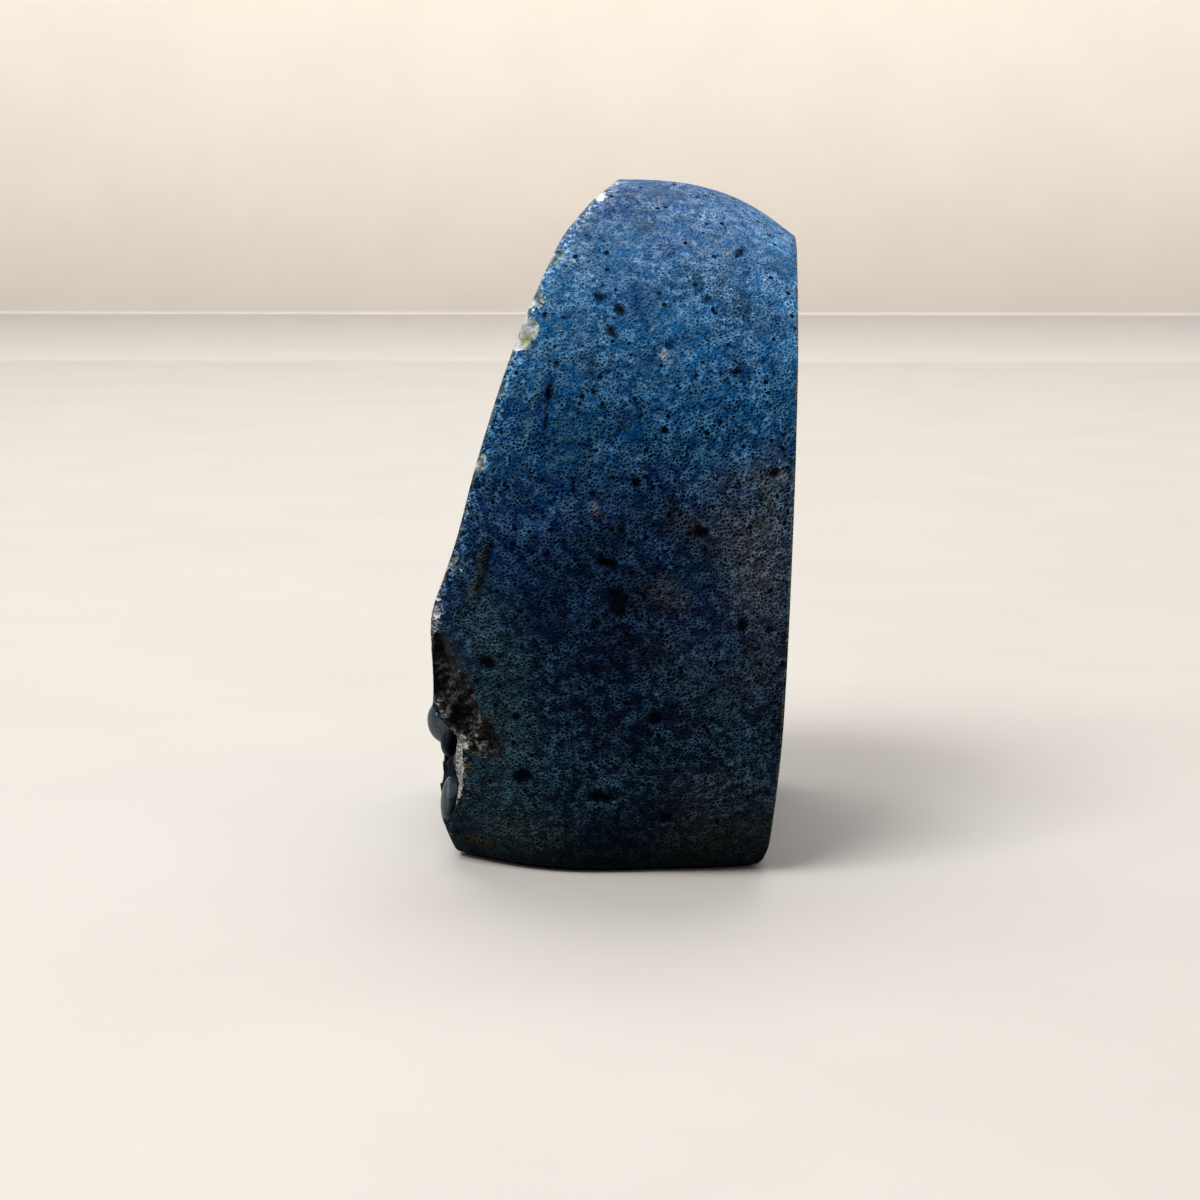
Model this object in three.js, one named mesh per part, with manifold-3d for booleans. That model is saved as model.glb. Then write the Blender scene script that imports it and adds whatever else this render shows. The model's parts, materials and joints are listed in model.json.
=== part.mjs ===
// A dyed agate geode, sawn from a nodule so that it stands on a flat base.
// One side is polished and slightly domed, the opposite side is a plain saw cut, and the rind runs
// round the edge between them. A hollow in the polished side is lined with quartz crystals, and its
// wall is broken through at one side, near the base.
// Millimetres. X runs through the thickness, from the polished side (-X) to the sawn back (+X),
// Y runs across the polished side, and Z is up from the base.
import * as THREE from "three";
import { mergeVertices } from "three/addons/utils/BufferGeometryUtils.js";
import Module from "manifold-3d";

const wasm = await Module();
wasm.setup();

// The nodule before it was sawn: an egg with flattened sides. Its squareness is the exponent of a
// superellipsoid, 2 being an ellipsoid.
const NODULE_CENTRE = new THREE.Vector3(5, 0, 52);
const NODULE_RADIUS_X = 53;
const NODULE_RADIUS_Y = 48;
const NODULE_RADIUS_UP = 68;
const NODULE_RADIUS_DOWN = 66;
const SQUARENESS_LOW = 2.7;
const SQUARENESS_TOP = 2.15;
const SQUARENESS_CHANGES_FROM = 0.1;
const SQUARENESS_CHANGES_TO = 0.95;
const RIND_FACETS = 18;

// Swells of the rind: how much of the radius, how many to the round, and the place of each wave.
const SWELLS = [
  { amount: 0.012, wave: new THREE.Vector3(3.1, 4.2, 2.3), start: 0.6 },
  { amount: 0.009, wave: new THREE.Vector3(-5.3, 3.4, 6.1), start: 2.1 },
  { amount: 0.006, wave: new THREE.Vector3(8.2, -7.1, 5.4), start: 4.0 },
  { amount: 0.004, wave: new THREE.Vector3(-11.3, 12.2, 9.7), start: 1.3 },
];

// The polished side, as its distance x from the middle at each height z. It leans back as it rises.
const FRONT_PROFILE = [
  [-12, -23.0],
  [3, -28.2],
  [7, -29.4],
  [12, -30.7],
  [24, -31.2],
  [34, -30.8],
  [41, -31.1],
  [47, -30.8],
  [53, -28.7],
  [60, -26.4],
  [72, -23.2],
  [87, -18.4],
  [99, -13.7],
  [110, -8.5],
  [117, -3.2],
  [134, 14.0],
];
const FRONT_DOME = 1.4;
const BACK_X = 28.0;
const BACK_LEAN = 0.035;
const BASE_EDGE_RADIUS = 3.2;
const CUT_GRID = 6;
const CUT_REACH = 72;
const CUT_HEIGHT = 132;
const BISECTIONS = 24;
const MERGE_WITHIN = 1e-4;

// A low swell of the polished side beside the hollow: how far out, and its place and spread.
const SWELL_OUT = 3.8;
const SWELL_Y = 13;
const SWELL_Z = 17;
const SWELL_SPREAD_Y = 9;
const SWELL_SPREAD_Z = 5;

// The hollow, an ellipsoid lying slantwise in the polished side, and its lining of crystals.
const HOLLOW = {
  centre: new THREE.Vector3(-29.5, 1, 42),
  radii: new THREE.Vector3(20, 40, 23),
  slant: 0.6,
  waves: [
    { amount: 0.025, wave: new THREE.Vector3(0, 5, 3), start: 1 },
    { amount: 0.025, wave: new THREE.Vector3(-4, 0, 7), start: 0 },
  ],
  facets: 7,
};

// The crystals stand on a net of triangles. Every third corner of the net is a crystal's tip, so
// that each tip has six faces, and the other corners are where the crystals meet.
const CRUST_GAP = 0.3;
const CRUST_FACET_SAG = 0.25;
const CRUST_THICKNESS = 1.9;
const CRYSTAL_HEIGHT = 3.4;
const CRYSTAL_LEAST = 0.45;
const CRYSTAL_SPREAD = 0.75;
const VALLEY_HEIGHT = 0.5;
const TIP_JITTER = 0.07;
const VALLEY_JITTER = 0.045;
const CRYSTAL_FREQUENCY = 9;
const CRYSTAL_SEED = 7;
const CRUST_BACK_FROM_POLISH = 0.5;
const CRUST_BACK_FROM_GAP = 1;

// How far the finished stone moves to stand centred on the origin.
const STAND_SHIFT = [2.08, 0.34, 0];

// The broken place at the side of the hollow, drawn as seen from the side, and how deep it goes.
const SCAR_OUTLINE = [
  [-29.4, 42.8],
  [-27.9, 41.2],
  [-24.8, 35.6],
  [-22.6, 30.6],
  [-20.1, 26.0],
  [-18.8, 21.4],
  [-21.5, 21.9],
  [-24.3, 22.4],
  [-26.8, 25.4],
  [-29.0, 29.2],
  [-30.2, 33.8],
  [-30.4, 38.4],
];
const POCKET_MOUTH_Y = -60;
const POCKET_NARROWS_FROM = 0.68;
const POCKET_STEPS = 8;
const SCAR_FLOOR_Y = -37.0;
const SCAR_TAPER = 0.5;

// The gap below it, where the rim is gone and the wall is open to the hollow.
const GAP_OUTLINE = [
  [-40.0, 27.6],
  [-29.6, 27.2],
  [-27.6, 25.2],
  [-26.6, 22.0],
  [-26.2, 17.0],
  [-26.8, 12.0],
  [-27.8, 8.6],
  [-30.0, 7.0],
  [-40.0, 6.4],
];
const GAP_FLOOR_Y = -28;

// Pits and short furrows in the rind of the side that is broken: x, z, half sizes and tilt.
const PITS = [
  { x: -0.2, z: 94.4, size: [1.0, 1.1, 1.0], tilt: 0.3 },
  { x: -2.6, z: 100.4, size: [0.7, 0.9, 0.8], tilt: 0 },
  { x: 1.7, z: 98.6, size: [0.8, 0.8, 0.7], tilt: 0.6 },
  { x: 21.6, z: 107.2, size: [0.9, 0.9, 0.8], tilt: 0 },
  { x: 28.2, z: 71.0, size: [1.1, 1.2, 0.9], tilt: 0.2 },
  { x: 7.2, z: 29.4, size: [1.2, 1.3, 0.9], tilt: 0.4 },
  { x: -16.2, z: 18.0, size: [1.2, 1.3, 0.8], tilt: 0.9 },
  { x: -22.0, z: 38.8, size: [0.8, 0.9, 0.7], tilt: 0.5 },
  { x: -11.0, z: 88.5, size: [0.6, 1.1, 4.6], tilt: 0.05 },
  { x: -12.3, z: 79.0, size: [0.6, 0.9, 4.4], tilt: 0.13 },
  { x: -21.6, z: 59.0, size: [0.8, 1.4, 4.2], tilt: 0.12 },
  { x: -23.4, z: 52.0, size: [0.9, 1.6, 3.6], tilt: 0.42 },
];

// Flakes chipped off the rim of the polished side: height up the side, half sizes and turn about Z.
const FRONT_CHIPS = [
  { height: 108, size: [3.2, 4.0, 2.6], turn: 0.5 },
  { height: 96, size: [4.2, 4.4, 5.0], turn: 0.8 },
  { height: 74, size: [1.8, 2.8, 3.0], turn: 1.1 },
  { height: 56, size: [2.2, 3.0, 3.4], turn: 1.4 },
  { height: 44, size: [1.6, 3.0, 2.2], turn: 1.7 },
];

function makeRandom(seed) {
  let state = seed;
  return () => {
    state = (state * 1103515245 + 12345) % 2147483648;
    return state / 2147483648;
  };
}

function waveFactor(waves, direction) {
  return waves.reduce(
    (factor, { amount, wave, start }) => factor * (1 + amount * Math.sin(wave.dot(direction) + start)),
    1,
  );
}

function nodulePoint(direction) {
  const square = THREE.MathUtils.lerp(
    SQUARENESS_LOW,
    SQUARENESS_TOP,
    THREE.MathUtils.smoothstep(direction.z, SQUARENESS_CHANGES_FROM, SQUARENESS_CHANGES_TO),
  );
  const radiusZ = direction.z > 0 ? NODULE_RADIUS_UP : NODULE_RADIUS_DOWN;
  const sum =
    Math.abs(direction.x / NODULE_RADIUS_X) ** square +
    Math.abs(direction.y / NODULE_RADIUS_Y) ** square +
    Math.abs(direction.z / radiusZ) ** square;
  const radius = sum ** (-1 / square) * waveFactor(SWELLS, direction);
  const point = direction.clone().multiplyScalar(radius).add(NODULE_CENTRE);
  return tuckUnder(point);
}

// How far the side has drawn in at a height near the base, where its edge is round.
function baseInset(z) {
  const below = THREE.MathUtils.clamp(BASE_EDGE_RADIUS - z, 0, BASE_EDGE_RADIUS);
  return BASE_EDGE_RADIUS - Math.sqrt(BASE_EDGE_RADIUS ** 2 - below ** 2);
}

function tuckUnder(point) {
  const outward = new THREE.Vector2(point.x - NODULE_CENTRE.x, point.y - NODULE_CENTRE.y);
  const reach = outward.length();
  if (reach > 1) {
    const share = (reach - baseInset(point.z)) / reach;
    point.x = NODULE_CENTRE.x + outward.x * share;
    point.y = NODULE_CENTRE.y + outward.y * share;
  }
  return point;
}

// A smooth curve through the profile's points (Catmull-Rom, by height).
function frontProfile(z) {
  const last = FRONT_PROFILE.length - 2;
  let i = 1;
  while (i < last - 1 && z > FRONT_PROFILE[i + 1][0]) i++;
  const [before, from, to, after] = FRONT_PROFILE.slice(i - 1, i + 3);
  const span = to[0] - from[0];
  const t = (z - from[0]) / span;
  const slopeFrom = ((to[1] - before[1]) / (to[0] - before[0])) * span;
  const slopeTo = ((after[1] - from[1]) / (after[0] - from[0])) * span;
  return (
    (2 * t ** 3 - 3 * t ** 2 + 1) * from[1] +
    (t ** 3 - 2 * t ** 2 + t) * slopeFrom +
    (3 * t ** 2 - 2 * t ** 3) * to[1] +
    (t ** 3 - t ** 2) * slopeTo
  );
}

function frontX(y, z) {
  const dome = FRONT_DOME * (1 - (y / NODULE_RADIUS_Y) ** 2);
  const swell =
    SWELL_OUT *
    Math.exp(-(((y - SWELL_Y) / SWELL_SPREAD_Y) ** 2) - ((z - SWELL_Z) / SWELL_SPREAD_Z) ** 2);
  return frontProfile(z) - dome - swell + baseInset(z);
}

function backX(z) {
  return BACK_X + BACK_LEAN * z - baseInset(z);
}

function solidFrom(geometry) {
  const bare = new THREE.BufferGeometry();
  bare.setAttribute("position", geometry.getAttribute("position"));
  if (geometry.index) bare.setIndex(geometry.index);
  const merged = mergeVertices(bare, MERGE_WITHIN);
  return new wasm.Manifold(
    new wasm.Mesh({
      numProp: 3,
      vertProperties: new Float32Array(merged.getAttribute("position").array),
      triVerts: new Uint32Array(merged.index.array),
    }),
  );
}

function geometryFrom(solid) {
  const mesh = solid.getMesh();
  const geometry = new THREE.BufferGeometry();
  geometry.setAttribute("position", new THREE.BufferAttribute(mesh.vertProperties, 3));
  geometry.setIndex(new THREE.BufferAttribute(mesh.triVerts, 1));
  geometry.computeVertexNormals();
  return geometry;
}

// Moves every vertex of a geometry by a function of its place.
function reshape(geometry, place) {
  const positions = geometry.getAttribute("position");
  const point = new THREE.Vector3();
  for (let i = 0; i < positions.count; i++) {
    point.fromBufferAttribute(positions, i);
    const moved = place(point);
    positions.setXYZ(i, moved.x, moved.y, moved.z);
  }
  return geometry;
}

function makeNodule() {
  const ball = new THREE.IcosahedronGeometry(1, RIND_FACETS);
  return solidFrom(reshape(ball, (p) => nodulePoint(p.clone().normalize())));
}

// What the saw and the polishing wheel leave: a block whose -X side is the polished dome.
// inset draws the block's polished side back, for cutting the crystals.
function makeCutBlock(inset) {
  const rows = Math.round(CUT_HEIGHT / CUT_GRID);
  const columns = Math.round((2 * CUT_REACH) / CUT_GRID);
  const block = new THREE.BoxGeometry(2, 2 * CUT_REACH, CUT_HEIGHT, 1, columns, rows);
  return solidFrom(
    reshape(block, (p) => {
      const z = p.z + CUT_HEIGHT / 2;
      const x = p.x < 0 ? frontX(p.y, z) + inset : backX(z);
      return new THREE.Vector3(x, p.y, z);
    }),
  );
}

function hollowPoint(direction, shrink) {
  const { centre, radii, slant, waves } = HOLLOW;
  return direction
    .clone()
    .multiply(radii.clone().subScalar(shrink))
    .multiplyScalar(waveFactor(waves, direction))
    .applyAxisAngle(new THREE.Vector3(1, 0, 0), slant)
    .add(centre);
}

function makeHollow() {
  const ball = new THREE.IcosahedronGeometry(1, HOLLOW.facets);
  return solidFrom(reshape(ball, (p) => hollowPoint(p.clone().normalize(), 0)));
}

// A prism along Y with an outline in X and Z, narrowing to a share of its size at its floor.
function makePocket(outline, mouthY, floorY, taper) {
  const shape = new THREE.Shape(outline.map(([x, z]) => new THREE.Vector2(x, z)));
  const depth = floorY - mouthY;
  const options = { depth, bevelEnabled: false, steps: POCKET_STEPS };
  const prism = new THREE.ExtrudeGeometry(shape, options);
  const middle = new THREE.Box2().setFromPoints(shape.getPoints()).getCenter(new THREE.Vector2());
  return solidFrom(
    reshape(prism, (p) => {
      const inward = THREE.MathUtils.smoothstep(p.z / depth, POCKET_NARROWS_FROM, 1);
      const scale = 1 - (1 - taper) * inward;
      const x = middle.x + (p.x - middle.x) * scale;
      const z = middle.y + (p.y - middle.y) * scale;
      return new THREE.Vector3(x, floorY - p.z, z);
    }),
  );
}

// The Y of the rim of the polished side at a height, on the side that is broken.
function rimY(z) {
  let y = rindY(frontX(-NODULE_RADIUS_Y, z), z);
  y = rindY(frontX(y, z), z);
  return y;
}

function insideNodule(point) {
  const offset = point.clone().sub(NODULE_CENTRE);
  const surface = nodulePoint(offset.clone().normalize()).sub(NODULE_CENTRE);
  return offset.length() < surface.length();
}

function rindY(x, z) {
  let low = -CUT_REACH;
  let high = 0;
  for (let i = 0; i < BISECTIONS; i++) {
    const y = (low + high) / 2;
    if (insideNodule(new THREE.Vector3(x, y, z))) high = y;
    else low = y;
  }
  return (low + high) / 2;
}

function makePit({ x, z, size, tilt }) {
  const dent = new THREE.IcosahedronGeometry(1, 1);
  const [halfX, halfY, halfZ] = size;
  return solidFrom(
    reshape(dent, (p) =>
      p
        .clone()
        .multiply(new THREE.Vector3(halfX, halfY, halfZ))
        .applyAxisAngle(new THREE.Vector3(0, 1, 0), tilt)
        .add(new THREE.Vector3(x, rindY(x, z), z)),
    ),
  );
}

function makeChip({ height, size, turn }) {
  const y = rimY(height);
  const flake = new THREE.IcosahedronGeometry(1, 2);
  return solidFrom(
    reshape(flake, (p) =>
      p
        .clone()
        .multiply(new THREE.Vector3(...size))
        .applyAxisAngle(new THREE.Vector3(0, 0, 1), turn)
        .add(new THREE.Vector3(frontX(y, height), y, height)),
    ),
  );
}

// The hollow's inside as a ball covered in six-sided points, to be cut out of the crust.
function makeCrystalBall(random) {
  const base = new THREE.IcosahedronGeometry(1, 0).getAttribute("position");
  const n = CRYSTAL_FREQUENCY;
  const made = new Map();
  const positions = [];
  const indices = [];
  const corner = (face, k) => new THREE.Vector3().fromBufferAttribute(base, face * 3 + k);
  const vertexAt = (face, a, b) => {
    const c = n - a - b;
    const direction = corner(face, 0)
      .multiplyScalar(a / n)
      .addScaledVector(corner(face, 1), b / n)
      .addScaledVector(corner(face, 2), c / n)
      .normalize();
    const key = direction.toArray().map((v) => Math.round(v / MERGE_WITHIN)).join();
    if (!made.has(key)) {
      const isTip = (((a - b) % 3) + 3) % 3 === 0;
      const tipHeight = CRYSTAL_HEIGHT * (CRYSTAL_LEAST + CRYSTAL_SPREAD * random());
      const rise = isTip ? tipHeight : VALLEY_HEIGHT * random();
      const jitter = new THREE.Vector3(random(), random(), random()).subScalar(0.5);
      const aim = direction.clone().addScaledVector(jitter, isTip ? TIP_JITTER : VALLEY_JITTER);
      made.set(key, positions.length / 3);
      positions.push(...hollowPoint(aim.normalize(), CRUST_GAP + CRUST_THICKNESS + rise).toArray());
    }
    return made.get(key);
  };
  for (let face = 0; face < base.count / 3; face++) {
    for (let a = 0; a < n; a++) {
      for (let b = 0; b < n - a; b++) {
        indices.push(vertexAt(face, a + 1, b), vertexAt(face, a, b + 1), vertexAt(face, a, b));
        if (a + b < n - 1) {
          indices.push(
            vertexAt(face, a + 1, b),
            vertexAt(face, a + 1, b + 1),
            vertexAt(face, a, b + 1),
          );
        }
      }
    }
  }
  const geometry = new THREE.BufferGeometry();
  geometry.setAttribute("position", new THREE.Float32BufferAttribute(positions, 3));
  geometry.setIndex(indices);
  return geometry;
}

function makeCrust() {
  const outside = new THREE.IcosahedronGeometry(1, HOLLOW.facets);
  const backOfCrust = CRUST_GAP + CRUST_FACET_SAG;
  const shell = solidFrom(
    reshape(outside, (p) => hollowPoint(p.clone().normalize(), backOfCrust)),
  );
  const inside = solidFrom(makeCrystalBall(makeRandom(CRYSTAL_SEED)));
  return shell
    .subtract(inside)
    .intersect(makeCutBlock(CRUST_BACK_FROM_POLISH))
    .subtract(makePocket(GAP_OUTLINE, POCKET_MOUTH_Y, GAP_FLOOR_Y + CRUST_BACK_FROM_GAP, 1))
    .translate(STAND_SHIFT);
}

function makeStone() {
  let stone = makeNodule().intersect(makeCutBlock(0));
  stone = stone.subtract(makeHollow());
  stone = stone.subtract(makePocket(SCAR_OUTLINE, POCKET_MOUTH_Y, SCAR_FLOOR_Y, SCAR_TAPER));
  stone = stone.subtract(makePocket(GAP_OUTLINE, POCKET_MOUTH_Y, GAP_FLOOR_Y, 1));
  for (const pit of PITS) stone = stone.subtract(makePit(pit));
  for (const chip of FRONT_CHIPS) stone = stone.subtract(makeChip(chip));
  return stone.translate(STAND_SHIFT);
}

const dyedStone = new THREE.MeshStandardMaterial({
  color: 0x2d547a,
  roughness: 0.75,
  metalness: 0,
});
const quartz = new THREE.MeshStandardMaterial({ color: 0x9fc0dc, roughness: 0.15, metalness: 0 });

const stone = new THREE.Mesh(geometryFrom(makeStone()), dyedStone);
stone.name = "agate_stone";

const crust = new THREE.Mesh(geometryFrom(makeCrust()), quartz);
crust.name = "crystal_crust";

const geode = new THREE.Group();
geode.add(stone, crust);

export default geode;
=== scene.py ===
"""Looks of the dyed agate geode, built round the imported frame.

Shapes are worked out in millimetres, in the axes of the part's own drawing: X through the
thickness, with the polished side at -X, Y across the polished side and Z up. The last step of each
piece moves it by STAND_SHIFT and scales it to metres, the units of the frame.
"""

import itertools
import json
import logging
import math
from collections.abc import Callable, Sequence
from dataclasses import dataclass, replace
from enum import IntEnum, StrEnum

import bpy
import numpy as np
from mathutils import Euler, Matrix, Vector

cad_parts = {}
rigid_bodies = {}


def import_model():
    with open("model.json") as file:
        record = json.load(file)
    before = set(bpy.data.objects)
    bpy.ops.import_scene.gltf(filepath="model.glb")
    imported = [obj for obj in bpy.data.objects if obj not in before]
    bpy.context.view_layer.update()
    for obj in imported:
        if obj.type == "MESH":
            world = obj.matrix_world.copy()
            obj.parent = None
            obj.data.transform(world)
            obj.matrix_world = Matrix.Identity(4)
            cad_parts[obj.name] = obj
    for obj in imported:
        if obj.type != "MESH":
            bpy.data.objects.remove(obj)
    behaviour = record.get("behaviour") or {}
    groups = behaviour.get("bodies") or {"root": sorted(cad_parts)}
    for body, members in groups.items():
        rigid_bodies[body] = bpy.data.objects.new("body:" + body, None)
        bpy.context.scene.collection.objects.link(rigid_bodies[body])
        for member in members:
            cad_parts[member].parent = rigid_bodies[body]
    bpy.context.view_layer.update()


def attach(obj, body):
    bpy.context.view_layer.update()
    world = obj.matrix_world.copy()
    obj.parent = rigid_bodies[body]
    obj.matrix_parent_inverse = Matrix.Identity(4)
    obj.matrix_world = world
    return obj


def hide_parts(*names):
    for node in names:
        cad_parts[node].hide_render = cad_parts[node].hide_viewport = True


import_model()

log = logging.getLogger("geode")

MM = 0.001
STAND_SHIFT = (2.08, 0.34, 0.0)
KNOB_FREQUENCY = 14
# Middle and fade distances of the painted shade at the lower end of the hollow.
HOLLOW_SHADE_MIDDLE = (-28.0, -16.0, 17.0)
HOLLOW_SHADE_FADES = (20.0, 34.0)

Colour = tuple[float, float, float]
Stops = tuple[tuple[float, Colour], ...]
Points = np.ndarray
Values = np.ndarray


class Zone(IntEnum):
    """The kinds of surface on the stone, in the order of its material slots."""

    RIND = 0
    POLISHED = 1
    SAWN = 2
    CHIPPED = 3
    BROKEN = 4
    HOLLOW = 5
    KNOB = 6


class Carving(StrEnum):
    """What a closed form does to the object that it meets."""

    TAKE_OUT = "DIFFERENCE"
    KEEP_COMMON = "INTERSECT"
    JOIN = "UNION"


def smoothstep(values: Values, low: float, high: float) -> Values:
    """Rises smoothly from 0 at low to 1 at high.

    Args:
        values: The numbers to test.
        low: Where the rise starts.
        high: Where the rise ends.

    Returns:
        One share from 0 to 1 for each number.
    """
    share = np.clip((values - low) / (high - low), 0.0, 1.0)
    return share * share * (3.0 - 2.0 * share)


@dataclass(frozen=True)
class Noise:
    """Smooth seeded noise in space.

    Attributes:
        size: Distance between its lumps in millimetres.
        seed: Number that picks one pattern.
        octaves: How many finer layers are added.
    """

    size: float
    seed: int
    octaves: int = 1

    @staticmethod
    def lattice(cells: np.ndarray, seed: int) -> Values:
        """Gives each whole-number cell its own share from 0 to 1.

        Args:
            cells: Cell numbers, three to a row.
            seed: Number that picks one pattern.

        Returns:
            One number from 0 to 1 for each row.
        """
        wide = cells.astype(np.int64)
        mixed = wide[:, 0] * 374761393 + wide[:, 1] * 668265263 + wide[:, 2] * 1274126177
        mixed = (mixed + seed * 974634777) & 0xFFFFFFFF
        mixed = ((mixed ^ (mixed >> 13)) * 1274126177) & 0xFFFFFFFF
        mixed = ((mixed ^ (mixed >> 15)) * 2246822519) & 0xFFFFFFFF
        return (mixed ^ (mixed >> 16)) / 4294967296.0

    def layer(self, points: Points, size: float, seed: int) -> Values:
        """Gives one layer of the noise.

        Args:
            points: Places in millimetres.
            size: Distance between lumps.
            seed: Number that picks one pattern.

        Returns:
            Numbers from -1 to 1.
        """
        scaled = points / size
        base = np.floor(scaled)
        part = scaled - base
        ease = part * part * (3.0 - 2.0 * part)
        total = np.zeros(len(points))
        for corner in itertools.product((0, 1), repeat=3):
            step = np.array(corner)
            weight = np.prod(np.where(step, ease, 1.0 - ease), axis=1)
            total += weight * self.lattice(base + step, seed)
        return total * 2.0 - 1.0

    def at(self, points: Points) -> Values:
        """Gives the noise at some places.

        Args:
            points: Places in millimetres.

        Returns:
            Numbers from about -1 to 1.
        """
        total = np.zeros(len(points))
        weight, size = 1.0, self.size
        for octave in range(self.octaves):
            total += weight * self.layer(points, size, self.seed + 17 * octave)
            weight *= 0.5
            size *= 0.5
        return total / (2.0 - 2.0 * weight)


@dataclass(frozen=True)
class Craters:
    """Round pits scattered at random through space, cut where they meet a surface.

    Attributes:
        cell: Size of the cube that can hold one pit.
        chance: Share of the cubes that hold one.
        smallest: Least radius.
        largest: Greatest radius.
        seed: Number that picks one pattern.
    """

    cell: float
    chance: float
    smallest: float
    largest: float
    seed: int

    def at(self, points: Points) -> Values:
        """Gives the depth of the pits at some places.

        Args:
            points: Places in millimetres.

        Returns:
            Depth in millimetres, 0 outside the pits.
        """
        base = np.floor(points / self.cell)
        deepest = np.zeros(len(points))
        for corner in itertools.product((-1, 0, 1), repeat=3):
            cells = base + np.array(corner)
            present = Noise.lattice(cells, self.seed) < self.chance
            if not present.any():
                continue
            near = cells[present]
            place = np.stack([Noise.lattice(near, self.seed + k) for k in (1, 2, 3)], axis=1)
            centre = (near + 0.2 + 0.6 * place) * self.cell
            span = self.largest - self.smallest
            radius = self.smallest + span * Noise.lattice(near, self.seed + 4) ** 2
            reach = np.linalg.norm(points[present] - centre, axis=1) / radius
            bowl = radius * np.clip(1.0 - reach * reach, 0.0, 1.0)
            deepest[present] = np.maximum(deepest[present], bowl)
        return deepest


@dataclass(frozen=True)
class Wave:
    """One sine wave over a round form.

    Attributes:
        amount: Share of the radius that it adds and takes.
        vector: How many waves there are each way.
        start: Where the wave starts.
    """

    amount: float
    vector: tuple[float, float, float]
    start: float


def wave_factor(waves: Sequence[Wave], directions: Points) -> Values:
    """Gives what the waves multiply a radius by.

    Args:
        waves: The waves over the form.
        directions: Unit vectors from its middle.

    Returns:
        One factor for each direction.
    """
    factor = np.ones(len(directions))
    for wave in waves:
        factor *= 1.0 + wave.amount * np.sin(directions @ np.array(wave.vector) + wave.start)
    return factor


def unit(vectors: Points) -> Points:
    """Scales vectors to length 1."""
    return vectors / np.linalg.norm(vectors, axis=1, keepdims=True)


def distance_from(level: Callable[[Points], Values], points: Points) -> Values:
    """Turns a function that is 0 on a surface into a distance from it.

    Args:
        level: Function of places that is 0 on the surface.
        points: Places in millimetres.

    Returns:
        Distance in millimetres, with the function's sign.
    """
    step = 0.05
    here = level(points)
    slope = np.stack([level(points + step * axis) - here for axis in np.eye(3)], axis=1) / step
    return here / np.maximum(np.linalg.norm(slope, axis=1), 1e-6)


def add_object(name: str, data: bpy.types.ID) -> bpy.types.Object:
    """Makes an object and puts it in the scene.

    Args:
        name: Name of the object.
        data: Its mesh, lamp or camera.

    Returns:
        The new object.
    """
    made = bpy.data.objects.new(name, data)
    bpy.context.scene.collection.objects.link(made)
    return made


@dataclass
class Shell:
    """Corners and faces of a closed form, in millimetres.

    Attributes:
        points: Corners, three numbers to a row.
        faces: Corner numbers of each face.
        zone: Kind of surface of each face.
    """

    points: Points
    faces: Sequence[Sequence[int]]
    zone: Values | int = 0

    def to_object(self, name: str) -> bpy.types.Object:
        """Makes a mesh object of the form.

        Args:
            name: Name of the object.

        Returns:
            The new object, in millimetres.
        """
        mesh = bpy.data.meshes.new(name)
        mesh.from_pydata(self.points.tolist(), [], [list(face) for face in self.faces])
        for zone in Zone:
            mesh.materials.append(blank_material(zone))
        zones = np.broadcast_to(np.asarray(self.zone, dtype=np.int32), (len(mesh.polygons),))
        mesh.polygons.foreach_set("material_index", np.ascontiguousarray(zones))
        mesh.update()
        return add_object(name, mesh)


def blank_material(zone: Zone) -> bpy.types.Material:
    """Gives the material that stands for a zone while the stone is cut.

    Args:
        zone: Kind of surface.

    Returns:
        The zone's material, made once.
    """
    name = "stone_" + zone.name.lower()
    return bpy.data.materials.get(name) or bpy.data.materials.new(name)


@dataclass(frozen=True)
class Ball:
    """A ball of triangles.

    Attributes:
        points: Unit vectors of its corners.
        faces: Three corner numbers for each face.
        tips: True for every third corner, so that each of those has six faces to itself.
    """

    points: Points
    faces: np.ndarray
    tips: Values


def geodesic(frequency: int) -> Ball:
    """Makes a ball of triangles from an icosahedron.

    Args:
        frequency: How many triangles lie along each edge of the icosahedron.

    Returns:
        The ball. Its tips are only right where the frequency is a multiple of 3.
    """
    golden = (1.0 + math.sqrt(5.0)) / 2.0
    corners = []
    for one, two in itertools.product((-1.0, 1.0), repeat=2):
        corners += [(0.0, one, two * golden), (one, two * golden, 0.0), (two * golden, 0.0, one)]
    corners = unit(np.array(corners))
    edge = min(np.linalg.norm(corners[0] - other) for other in corners[1:])
    triples = [
        trio
        for trio in itertools.combinations(range(12), 3)
        if all(
            np.linalg.norm(corners[i] - corners[j]) < edge * 1.1
            for i, j in itertools.combinations(trio, 2)
        )
    ]
    steps = [(i, j) for i in range(frequency + 1) for j in range(frequency + 1 - i)]
    number = {step: k for k, step in enumerate(steps)}
    small = []
    for i, j in steps:
        if i + j < frequency:
            small.append((number[i, j], number[i + 1, j], number[i, j + 1]))
        if i + j < frequency - 1:
            small.append((number[i + 1, j], number[i + 1, j + 1], number[i, j + 1]))
    shares = np.array([(i, j, frequency - i - j) for i, j in steps]) / frequency
    tips = np.array([(i - j) % 3 == 0 for i, j in steps])
    points, faces = [], []
    for trio in triples:
        a, b, c = (corners[k] for k in trio)
        if np.dot(np.cross(b - a, c - a), a) < 0:
            b, c = c, b
        faces.append(np.array(small)[:, [2, 0, 1]] + len(points) * len(steps))
        points.append(shares @ np.stack([a, b, c]))
    points = unit(np.concatenate(points))
    keys = np.round(points * 1e5).astype(np.int64)
    _, first, merged = np.unique(keys, axis=0, return_index=True, return_inverse=True)
    kept = np.tile(tips, len(triples))[first]
    return Ball(points[first], merged.reshape(-1)[np.concatenate(faces)], kept)


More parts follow.
